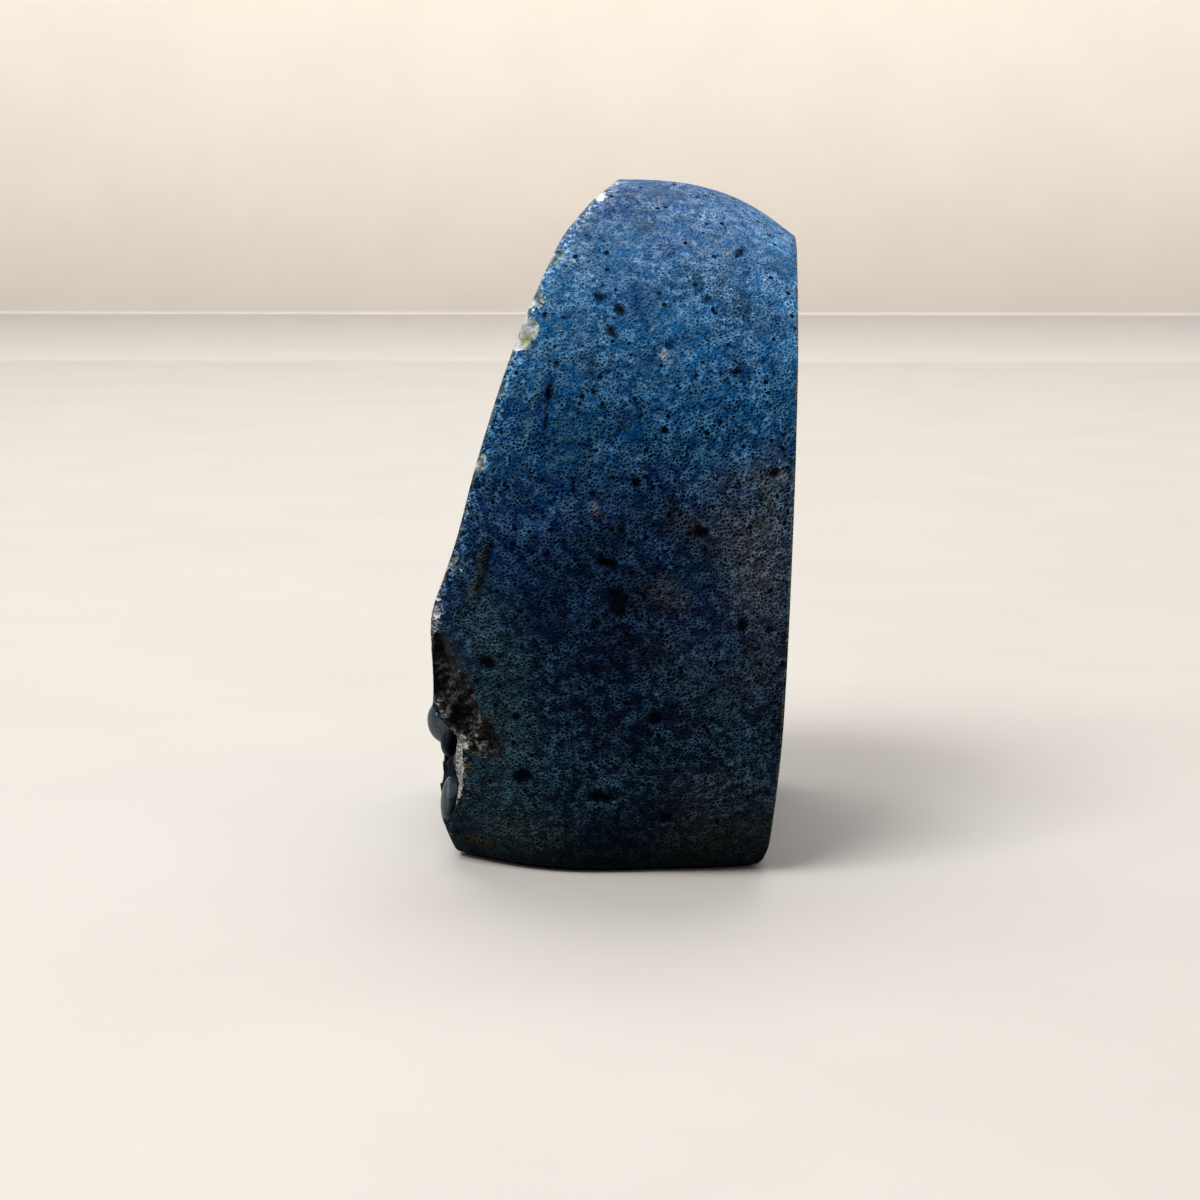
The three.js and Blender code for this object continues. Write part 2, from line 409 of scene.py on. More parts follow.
def carve(body: bpy.types.Object, form: Shell, carving: Carving = Carving.TAKE_OUT) -> None:
    """Changes an object with a closed form.

    Args:
        body: Object that is changed.
        form: Closed form that changes it.
        carving: What the form does to it.
    """
    tool = form.to_object("tool")
    modifier = body.modifiers.new("carve", "BOOLEAN")
    modifier.solver = "MANIFOLD"
    modifier.operation = carving.value
    modifier.object = tool
    modifier.material_mode = "INDEX"
    apply_modifiers(body)
    bpy.data.objects.remove(tool)


def apply_modifiers(body: bpy.types.Object) -> None:
    """Puts the result of an object's modifiers into its mesh.

    Args:
        body: Object whose modifiers are applied and removed.
    """
    graph = bpy.context.evaluated_depsgraph_get()
    result = bpy.data.meshes.new_from_object(body.evaluated_get(graph))
    body.modifiers.clear()
    body.data = result


def corners_of(body: bpy.types.Object) -> Points:
    """Gives the corners of an object's mesh.

    Args:
        body: Object that is read.

    Returns:
        Three numbers to a row.
    """
    flat = np.empty(len(body.data.vertices) * 3)
    body.data.vertices.foreach_get("co", flat)
    return flat.reshape(-1, 3)


def normals_of(body: bpy.types.Object) -> Points:
    """Gives the normals at the corners of an object's mesh.

    Args:
        body: Object that is read.

    Returns:
        Three numbers to a row.
    """
    flat = np.empty(len(body.data.vertices) * 3, dtype=np.float32)
    body.data.vertex_normals.foreach_get("vector", flat)
    return flat.reshape(-1, 3).astype(float)


def place_corners(body: bpy.types.Object, points: Points) -> None:
    """Moves the corners of an object's mesh.

    Args:
        body: Object whose mesh is moved.
        points: New places, three numbers to a row.
    """
    body.data.vertices.foreach_set("co", points.astype(np.float32).ravel())
    body.data.update()


def stand_in_frame(body: bpy.types.Object, sharp_over: float) -> None:
    """Moves a finished piece into the frame and shades it.

    Args:
        body: Object in millimetres.
        sharp_over: Angle in degrees above which an edge stays sharp.
    """
    place_corners(body, (corners_of(body) + np.array(STAND_SHIFT)) * MM)
    body.data.polygons.foreach_set("use_smooth", np.ones(len(body.data.polygons), dtype=bool))
    body.data.set_sharp_from_angle(angle=math.radians(sharp_over))


def write_values(body: bpy.types.Object, name: str, values: Values) -> None:
    """Stores one number for each corner of a mesh, for its materials.

    Args:
        body: Object that gets the numbers.
        name: Name of the attribute.
        values: One number for each corner.
    """
    attribute = body.data.attributes.new(name, "FLOAT", "POINT")
    attribute.data.foreach_set("value", values.astype(np.float32))


def write_colours(body: bpy.types.Object, name: str, colours: Points) -> None:
    """Stores one colour for each corner of a mesh, for its materials.

    Args:
        body: Object that gets the colours.
        name: Name of the attribute.
        colours: Linear red, green and blue for each corner.
    """
    attribute = body.data.attributes.new(name, "FLOAT_COLOR", "POINT")
    full = np.concatenate([colours, np.ones((len(colours), 1))], axis=1)
    attribute.data.foreach_set("color", full.astype(np.float32).ravel())


def segment_distance(places: Points, a: Points, b: Points) -> Values:
    """Gives the distance of flat places from a straight stretch.

    Args:
        places: Places, two numbers to a row.
        a: Start of the stretch.
        b: End of the stretch.

    Returns:
        One distance for each place.
    """
    along = b - a
    share = np.clip((places - a) @ along / max(along @ along, 1e-9), 0.0, 1.0)
    return np.linalg.norm(places - a - share[:, None] * along, axis=1)


def sheet_pair(one: Points, two: Points, wide: int, zones: tuple[int, int, int]) -> Shell:
    """Closes two sheets of the same grid into one form.

    Args:
        one: Corners of the first sheet, row by row.
        two: Corners of the second sheet, row by row.
        wide: How many corners lie in a row.
        zones: Kinds of surface of the first sheet, the second sheet and the sides.

    Returns:
        The closed form.
    """
    half = len(one)
    tall = half // wide
    faces, kinds = [], []
    for i, j in itertools.product(range(tall - 1), range(wide - 1)):
        corner = i * wide + j
        square = (corner, corner + 1, corner + wide + 1, corner + wide)
        faces += [square[::-1], tuple(half + k for k in square)]
        kinds += zones[:2]
    rim = list(range(wide))
    rim += [i * wide + wide - 1 for i in range(1, tall)]
    rim += [(tall - 1) * wide + j for j in range(wide - 2, -1, -1)]
    rim += [i * wide for i in range(tall - 2, 0, -1)]
    faces += [(k, m, half + m, half + k) for k, m in zip(rim, rim[1:] + rim[:1])]
    kinds += [zones[2]] * len(rim)
    return Shell(np.concatenate([one, two]), faces, np.array(kinds))


@dataclass(frozen=True)
class Nodule:
    """The nodule before it was sawn: an egg with flattened sides and swells.

    Attributes:
        centre: Its middle.
        radius_x: Half its thickness.
        radius_y: Half its width.
        radius_up: Height above its middle.
        radius_down: Depth below its middle.
        squareness_low: How square its lower part is, 2 for round.
        squareness_top: How square its top is.
        changes_from: Share of the way up where it starts to grow rounder.
        changes_to: Share of the way up where it is as round as its top.
        base_edge: Radius of the worn edge of the base.
        waves: Its swells.
    """

    centre: tuple[float, float, float] = (5.0, 0.0, 52.0)
    radius_x: float = 53.0
    radius_y: float = 48.0
    radius_up: float = 68.0
    radius_down: float = 66.0
    squareness_low: float = 2.7
    squareness_top: float = 2.15
    changes_from: float = 0.1
    changes_to: float = 0.95
    base_edge: float = 1.7
    waves: tuple[Wave, ...] = (
        Wave(0.012, (3.1, 4.2, 2.3), 0.6),
        Wave(0.009, (-5.3, 3.4, 6.1), 2.1),
        Wave(0.006, (8.2, -7.1, 5.4), 4.0),
        Wave(0.004, (-11.3, 12.2, 9.7), 1.3),
    )

    def radius(self, directions: Points) -> Values:
        """Gives the distance from the centre to the surface.

        Args:
            directions: Unit vectors from the centre.

        Returns:
            One distance for each direction.
        """
        share = smoothstep(directions[:, 2], self.changes_from, self.changes_to)
        square = self.squareness_low + (self.squareness_top - self.squareness_low) * share
        tall = np.where(directions[:, 2] > 0, self.radius_up, self.radius_down)
        total = (
            np.abs(directions[:, 0] / self.radius_x) ** square
            + np.abs(directions[:, 1] / self.radius_y) ** square
            + np.abs(directions[:, 2] / tall) ** square
        )
        return total ** (-1.0 / square) * wave_factor(self.waves, directions)

    def base_inset(self, heights: Values) -> Values:
        """Gives how far the side has drawn in near the base, where its edge is round."""
        below = np.clip(self.base_edge - heights, 0.0, self.base_edge)
        return self.base_edge - np.sqrt(self.base_edge**2 - below**2)

    def surface(self, directions: Points) -> Points:
        """Gives the places on the surface.

        Args:
            directions: Unit vectors from the centre.

        Returns:
            One place for each direction, with the edge of the base tucked under.
        """
        centre = np.array(self.centre)
        points = directions * self.radius(directions)[:, None] + centre
        reach = np.linalg.norm(points[:, :2] - centre[:2], axis=1)
        inset = np.where(reach > 1.0, self.base_inset(points[:, 2]), 0.0)
        share = (reach - inset) / np.maximum(reach, 1.0)
        points[:, :2] = centre[:2] + (points[:, :2] - centre[:2]) * share[:, None]
        return points

    def depth(self, points: Points) -> Values:
        """Gives how deep places lie under the rind.

        Args:
            points: Places in millimetres.

        Returns:
            Depth in millimetres, below 0 outside the rind.
        """

        def level(places: Points) -> Values:
            """Gives 0 on the rind and 1 at the centre.

            Args:
                places: Places in millimetres.

            Returns:
                One share for each place.
            """
            offset = places - np.array(self.centre)
            length = np.linalg.norm(offset, axis=1)
            return 1.0 - length / self.radius(offset / length[:, None])

        return distance_from(level, points) - self.base_inset(points[:, 2])


@dataclass(frozen=True)
class SawCuts:
    """The polished side, the sawn back and the sawn base.

    Attributes:
        nodule: Form that is sawn.
        profile: Pairs of Z and X along the middle of the polished side.
        dome: How far the middle of the polished side stands out.
        swell_out: Height of the swell low on the polished side.
        swell_place: Y and Z of the swell.
        swell_spread: Half sizes of the swell.
        back: X of the sawn back at the base.
        back_lean: How far the back leans out for each millimetre up.
        back_bow: How far the back bows out halfway up.
        back_toe: How far the back draws in over its lower part.
        back_heel: How far it draws in more at the base.
        heel_height: Height where the heel ends.
        bow_height: Height where the bow ends.
        grid: Distance between the form's corners.
        reach: Half the width of the block.
        top: Height of the block.
        rim_middle: Height of the middle of the rim.
    """

    nodule: Nodule
    profile: tuple[tuple[float, float], ...] = (
        (-12.0, -23.0), (3.0, -28.2), (7.0, -29.4), (12.0, -30.7), (24.0, -31.2), (34.0, -30.8),
        (41.0, -31.1), (47.0, -30.8), (53.0, -28.7), (60.0, -26.4), (72.0, -23.2), (87.0, -18.4),
        (99.0, -13.7), (110.0, -8.5), (113.0, -6.2), (116.3, -3.3), (118.2, -1.1), (120.0, 1.4),
        (134.0, 14.0),
    )
    dome: float = 1.4
    swell_out: float = 1.4
    swell_place: tuple[float, float] = (9.0, 15.5)
    swell_spread: tuple[float, float] = (9.0, 5.0)
    back: float = 27.98
    back_lean: float = 0.035
    back_bow: float = 0.4
    back_toe: float = 1.3
    back_heel: float = 1.6
    heel_height: float = 6.0
    bow_height: float = 104.0
    grid: float = 1.25
    reach: float = 51.0
    top: float = 123.0
    rim_middle: float = 52.0

    def front_x(self, across: Values, heights: Values) -> Values:
        """Gives the X of the polished side.

        Args:
            across: Y of each place.
            heights: Z of each place.

        Returns:
            One X for each place.
        """
        z = np.array([row[0] for row in self.profile])
        x = np.array([row[1] for row in self.profile])
        slope = (x[2:] - x[:-2]) / (z[2:] - z[:-2])
        i = np.clip(np.searchsorted(z, heights, side="left") - 1, 1, len(z) - 3)
        span = z[i + 1] - z[i]
        t = (heights - z[i]) / span
        curve = (
            (2 * t**3 - 3 * t**2 + 1) * x[i]
            + (t**3 - 2 * t**2 + t) * slope[i - 1] * span
            + (3 * t**2 - 2 * t**3) * x[i + 1]
            + (t**3 - t**2) * slope[i] * span
        )
        dome = self.dome * (1.0 - (across / self.nodule.radius_y) ** 2)
        offset_y = (across - self.swell_place[0]) / self.swell_spread[0]
        offset_z = (heights - self.swell_place[1]) / self.swell_spread[1]
        swell = self.swell_out * np.exp(-(offset_y**2) - offset_z**2)
        return curve - dome - swell + self.nodule.base_inset(heights)

    def back_x(self, heights: Values) -> Values:
        """Gives the X of the sawn back.

        Args:
            heights: Z of each place.

        Returns:
            One X for each place.
        """
        bow = self.back_bow * np.sin(np.clip(heights / self.bow_height, 0.0, 1.0) * math.pi)
        toe = self.back_toe * (1.0 - smoothstep(heights, -6.0, 30.0))
        toe += self.back_heel * np.clip(1.0 - heights / self.heel_height, 0.0, 1.0) ** 2
        return self.back + self.back_lean * heights + bow - toe - self.nodule.base_inset(heights)

    def block(self, inset: float = 0.0) -> Shell:
        """Makes the block that the saw leaves.

        Args:
            inset: How far its polished side is drawn back.

        Returns:
            The closed block, with its zones.
        """
        edge = self.nodule.base_edge
        low = np.linspace(0.0, 1.0, 8, endpoint=False) ** 1.6 * edge
        rows = np.concatenate([low, np.arange(edge, self.top, self.grid)])
        columns = np.linspace(-self.reach, self.reach, round(2 * self.reach / self.grid) + 1)
        across, heights = np.meshgrid(columns, rows)
        across, heights = across.ravel(), heights.ravel()
        front = np.stack([self.front_x(across, heights) + inset, across, heights], axis=1)
        rear = np.stack([self.back_x(heights), across, heights], axis=1)
        zones = (Zone.POLISHED, Zone.SAWN, Zone.SAWN)
        return sheet_pair(front, rear, len(columns), zones)

    def rim_points(self, angles: Values, rear: bool = False) -> Points:
        """Gives places on the rim of the polished side or of the sawn back.

        Args:
            angles: Angles round the middle of the side, 0 towards +Y and a quarter turn up.
            rear: True for the sawn back.

        Returns:
            One place for each angle.
        """
        middle = self.rim_middle
        low, high = np.zeros(len(angles)), np.full(len(angles), 90.0)
        for _ in range(30):
            reach = (low + high) / 2.0
            across, heights = reach * np.cos(angles), middle + reach * np.sin(angles)
            x = self.back_x(heights) if rear else self.front_x(across, heights)
            places = np.stack([x, across, heights], axis=1)
            inside = self.nodule.depth(places) > 0.0
            low, high = np.where(inside, reach, low), np.where(inside, high, reach)
        return places

    def near_rim(self, height: float) -> Points:
        """Gives the place on the rim of the polished side at -Y.

        Args:
            height: Z of the place.

        Returns:
            The place.
        """
        low, high = -49.0, -2.0
        for _ in range(30):
            across = (low + high) / 2.0
            y, z = np.array([across]), np.array([height])
            place = np.stack([self.front_x(y, z), y, z], axis=1)
            low, high = (low, across) if self.nodule.depth(place)[0] > 0.0 else (across, high)
        return place[0]


@dataclass(frozen=True)
class Hollow:
    """The hollow in the polished side, an ellipsoid lying slantwise.

    Attributes:
        centre: Its middle.
        radii: Half sizes before it is turned.
        slant: Its turn about the X axis in radians.
        waves: The swells of its wall.
    """

    centre: tuple[float, float, float] = (-29.5, 1.0, 42.0)
    radii: tuple[float, float, float] = (20.0, 40.0, 23.0)
    slant: float = 0.6
    waves: tuple[Wave, ...] = (
        Wave(0.025, (0.0, 5.0, 3.0), 1.0),
        Wave(0.025, (-4.0, 0.0, 7.0), 0.0),
    )

    def surface(self, directions: Points, shrink: Values | float = 0.0) -> Points:
        """Gives places on the wall.

        Args:
            directions: Unit vectors before the form is stretched and turned.
            shrink: How far inside the wall each place lies.

        Returns:
            One place for each direction.
        """
        radii = np.array(self.radii) - np.asarray(shrink, dtype=float).reshape(-1, 1)
        local = directions * radii * wave_factor(self.waves, directions)[:, None]
        return self.turned(local, self.slant) + np.array(self.centre)

    @staticmethod
    def turned(points: Points, angle: float) -> Points:
        """Turns places about the X axis.

        Args:
            points: Places to turn.
            angle: Angle in radians.

        Returns:
            The turned places.
        """
        cos, sin = math.cos(angle), math.sin(angle)
        y = points[:, 1] * cos - points[:, 2] * sin
        z = points[:, 1] * sin + points[:, 2] * cos
        return np.stack([points[:, 0], y, z], axis=1)

    def distance(self, points: Points) -> Values:
        """Gives the distance of places from the wall.

        Args:
            points: Places in millimetres.

        Returns:
            Distance in millimetres, above 0 in the stone.
        """

        def level(places: Points) -> Values:
            """Gives 0 on the wall and -1 at the centre.

            Args:
                places: Places in millimetres.

            Returns:
                One share for each place.
            """
            local = self.turned(places - np.array(self.centre), -self.slant)
            local /= np.array(self.radii)
            length = np.linalg.norm(local, axis=1)
            return length / wave_factor(self.waves, local / length[:, None]) - 1.0

        return distance_from(level, points)


@dataclass(frozen=True)
class SideBreak:
    """A broken place cut into the side at -Y, drawn as seen from the side.

    Attributes:
        nodule: Form of the rind that it is cut into.
        outline: Corners in X and Z.
        falls: Pairs of a distance inside the outline and the floor's depth there.
        facets: Height of the flat faces of its floor.
        seed: Number that picks the pattern of the faces.
        ragged: How far the outline wanders.
        round_off: Middle and half height of the arch that its depth follows.
        mouth: Y where the form starts, outside the stone.
        grid: Distance between the form's corners.
        face_sizes: Width of the flat faces of its floor and each width's share.
    """

    nodule: Nodule
    outline: tuple[tuple[float, float], ...]
    falls: tuple[tuple[float, float], ...]
    facets: float
    seed: int
    ragged: float = 0.3
    round_off: tuple[float, float] = (0.0, 1000.0)
    mouth: float = -60.0
    grid: float = 0.36
    face_sizes: tuple[tuple[float, float], ...] = (
        (7.0, 0.42), (4.6, 0.28), (2.7, 0.18), (1.5, 0.12),
    )

    def inside(self, x: Values, z: Values) -> Values:
        """Gives the distance inside the outline.

        Args:
            x: X of each place.
            z: Z of each place.

        Returns:
            Distance from the outline in millimetres, below 0 outside it.
        """
        places = np.stack([x, z], axis=1)
        nearest = np.full(len(places), np.inf)
        crossings = np.zeros(len(places), dtype=int)
        corners = np.array(self.outline)
        for a, b in zip(corners, np.roll(corners, -1, axis=0)):
            nearest = np.minimum(nearest, segment_distance(places, a, b))
            spans = (a[1] > z) != (b[1] > z)
            cross = a[0] + (z - a[1]) / np.where(spans, b[1] - a[1], 1.0) * (b[0] - a[0])
            crossings += spans & (x < cross)
        return np.where(crossings % 2 == 1, nearest, -nearest)

    def rind_y(self, x: Values, z: Values) -> Values:
        """Gives the Y of the rind at -Y, or a Y well inside the outline where there is none.

        Args:
            x: X of each place.
            z: Z of each place.

        Returns:
            One Y for each place.
        """
        low, high = np.full(len(x), -49.0), np.full(len(x), -15.0)
        for _ in range(18):
            y = (low + high) / 2.0
            under = self.nodule.depth(np.stack([x, y, z], axis=1)) > 0.0
            low, high = np.where(under, low, y), np.where(under, y, high)
        return y

    def flat_faces(self, places: Points) -> Values:
        """Gives the height of a crumpled ground of flat faces.

        Args:
            places: Places in millimetres.

        Returns:
            Heights from -1 to 1.
        """
        draw = np.random.default_rng(self.seed)
        total = np.zeros(len(places))
        for length, share in self.face_sizes:
            angle, start = draw.uniform(0.0, math.pi), draw.random()
            along = places[:, 0] * math.cos(angle) + places[:, 2] * math.sin(angle)
            wander = 0.4 * Noise(length * 1.6, self.seed).at(places)
            phase = (along / length + start + wander) % 1.0
            total += share * (4.0 * np.abs(phase - 0.5) - 1.0)
        return total

    def shell(self) -> Shell:
        """Makes the form that is cut out.

        Returns:
            The closed form.
        """
        corners = np.array(self.outline)
        low, high = corners.min(axis=0) - 1.5, corners.max(axis=0) + 1.5
        xs = np.arange(low[0], high[0], self.grid)
        zs = np.arange(low[1], high[1], self.grid)
        x, z = (side.ravel() for side in np.meshgrid(xs, zs))
        places = np.stack([x, np.full(len(x), 3.0), z], axis=1)
        inside = self.inside(x, z) + self.ragged * Noise(1.6, self.seed + 5, 2).at(places)
        steps, depths = zip(*self.falls)
        middle, half = self.round_off
        away = np.abs((z - middle) / half + 0.12 * Noise(5.0, self.seed + 6, 2).at(places))
        fall = np.interp(inside, steps, depths) * np.sqrt(np.clip(1.0 - away**3, 0.02, 1.0))
        rough = self.facets * self.flat_faces(places)
        rough += 0.15 * Noise(0.8, self.seed + 3, 2).at(places)
        floor = self.rind_y(x, z) + fall + rough * np.clip(fall / 3.0, 0.0, 1.0)
        y = np.where(inside > 0.0, floor, self.mouth + 1.0)
        top = np.stack([x, y, z], axis=1)
        bottom = np.stack([x, np.full(len(x), self.mouth), z], axis=1)
        return sheet_pair(top, bottom, len(xs), (Zone.BROKEN, Zone.BROKEN, Zone.BROKEN))


@dataclass(frozen=True)
class Flake:
    """One chip knocked off a rim.

    Attributes:
        place: Middle of the chip.
        size: Half sizes.
        turn: Turns about the axes in radians.
        seed: Number that picks its lumps.
        rough: Share by which its corners move in and out.
    """

    place: tuple[float, float, float]
    size: tuple[float, float, float]
    turn: tuple[float, float, float]
    seed: int
    rough: float = 0.3

    def corners(self, ball: Points) -> Points:
        """Gives the corners of the form that is cut out.

        Args:
            ball: Unit vectors of a ball's corners.

        Returns:
            One place for each corner.
        """
        draw = np.random.default_rng(self.seed)
        lumps = 1.0 + draw.uniform(-self.rough, self.rough, len(ball))
        turn = np.array(Euler(self.turn).to_matrix())
        return (ball * np.array(self.size) * lumps[:, None]) @ turn.T + np.array(self.place)


@dataclass(frozen=True)
class RimChips:
    """How small chips are scattered along one rim.

    Attributes:
        rear: True for the rim of the sawn back.
        closest: Least angle between two chips in radians.
        farthest: Greatest angle between two chips in radians.
        scale: What their sizes are multiplied by.
        seed: Number that picks the pattern.
        smallest: Least half size before it is scaled.
        span: How much larger the largest is.
        rarity: How rare the large ones are.
        first_angle: Angle before which the first chip lies.
        lowest: Height below which there are none.
        wide: Most half sizes that two chips keep apart.
        clear: Distance that is left between them as well.
    """

    rear: bool
    closest: float
    farthest: float
    scale: float
    seed: int
    smallest: float = 0.35
    span: float = 0.9
    rarity: float = 2.2
    first_angle: float = -0.6
    lowest: float = 3.0
    wide: float = 3.4
    clear: float = 0.8

    def angles(self, draw: np.random.Generator) -> Values:
        """Draws the angles of the places where there may be a chip.

        Args:
            draw: Source of the random numbers.

        Returns:
            The angles in radians, less than one turn in all.
        """
        turned = np.cumsum(draw.uniform(self.closest, self.farthest, 160))
        return turned[turned < 2.0 * math.pi - 0.05] + self.first_angle


@dataclass(frozen=True)
class Mark:
    """A soft patch or line on the side at -Y.

    Attributes:
        path: X and Z of the points along its middle.
        size: Half sizes in X and Z.
        colour: Its colour.
        strength: Share of its colour at its middle.
        seen_to: The two Y between which it fades out.
        ragged: How uneven its outline is.
        edge: How sharp its outline is.
    """

    path: tuple[tuple[float, float], ...]
    size: tuple[float, float]
    colour: Colour = (0.002, 0.005, 0.012)
    strength: float = 0.9
    seen_to: tuple[float, float] = (-20.0, -8.0)
    ragged: float = 0.35
    edge: float = 2.0

    def near(self, points: Points) -> Values:
        """Gives how near places lie to the middle.

        Args:
            points: Places in millimetres.

        Returns:
            Shares from 0 far away to 1 in the middle.
        """
        size = np.array(self.size)
        path = np.array(self.path)
        low, high = path.min(axis=0) - 3.0 * size, path.max(axis=0) + 3.0 * size
        flat = points[:, [0, 2]]
        close = ((flat > low) & (flat < high)).all(axis=1) & (points[:, 1] < self.seen_to[1])
        some = points[close]
        wander = [Noise(max(self.size), seed).at(some) for seed in (7, 8)]
        places = (flat[close] + min(self.size) * self.ragged * np.stack(wander, axis=1)) / size
        path = path / size
        reach = np.full(len(some), np.inf)
        for one, two in zip(path, path[1:] if len(path) > 1 else path):
            reach = np.minimum(reach, segment_distance(places, one, two))
        share = np.zeros(len(points))
        whole = smoothstep(Noise(1.6 * max(self.size), 9).at(some), -1.2, 0.8 * self.ragged - 0.6)
        seen = 1.0 - smoothstep(some[:, 1], *self.seen_to)
        share[close] = np.exp(-(reach**self.edge)) * seen * whole
        return share

    def lay(self, colour: Points, points: Points, gain: float = 1.0, share: float = 1.0) -> None:
        """Lays the mark's colour over others, in place.

        Args:
            colour: Colours so far, changed in place.
            points: Places in millimetres.
            gain: What the mark's colour is multiplied by.
            share: What the mark's strength is multiplied by.
        """
        near = self.near(points) * self.strength * share
        colour += (np.array(self.colour) * gain - colour) * near[:, None]


@dataclass(frozen=True)
class Pit(Mark):
    """A hole or groove in the side at -Y, painted dark as shade, with a sharp outline."""

    edge: float = 5.0


def total_of(marks: Sequence[Mark], points: Points) -> Values:
    """Adds up how near places lie to some marks, up to 1.

    Args:
        marks: The marks.
        points: Places in millimetres.

    Returns:
        Shares from 0 to 1.
    """
    total = sum((mark.near(points) * mark.strength for mark in marks), np.zeros(len(points)))
    return np.clip(total, 0.0, 1.0)


def painted_hollow_shade(points: Points) -> Values:
    """Gives the share of painted shade at the lower end of the hollow.

    Args:
        points: Places in millimetres.

    Returns:
        Shares from 0 to 1.
    """
    away = np.linalg.norm(points - np.array(HOLLOW_SHADE_MIDDLE), axis=1)
    return 1.0 - smoothstep(away, *HOLLOW_SHADE_FADES)


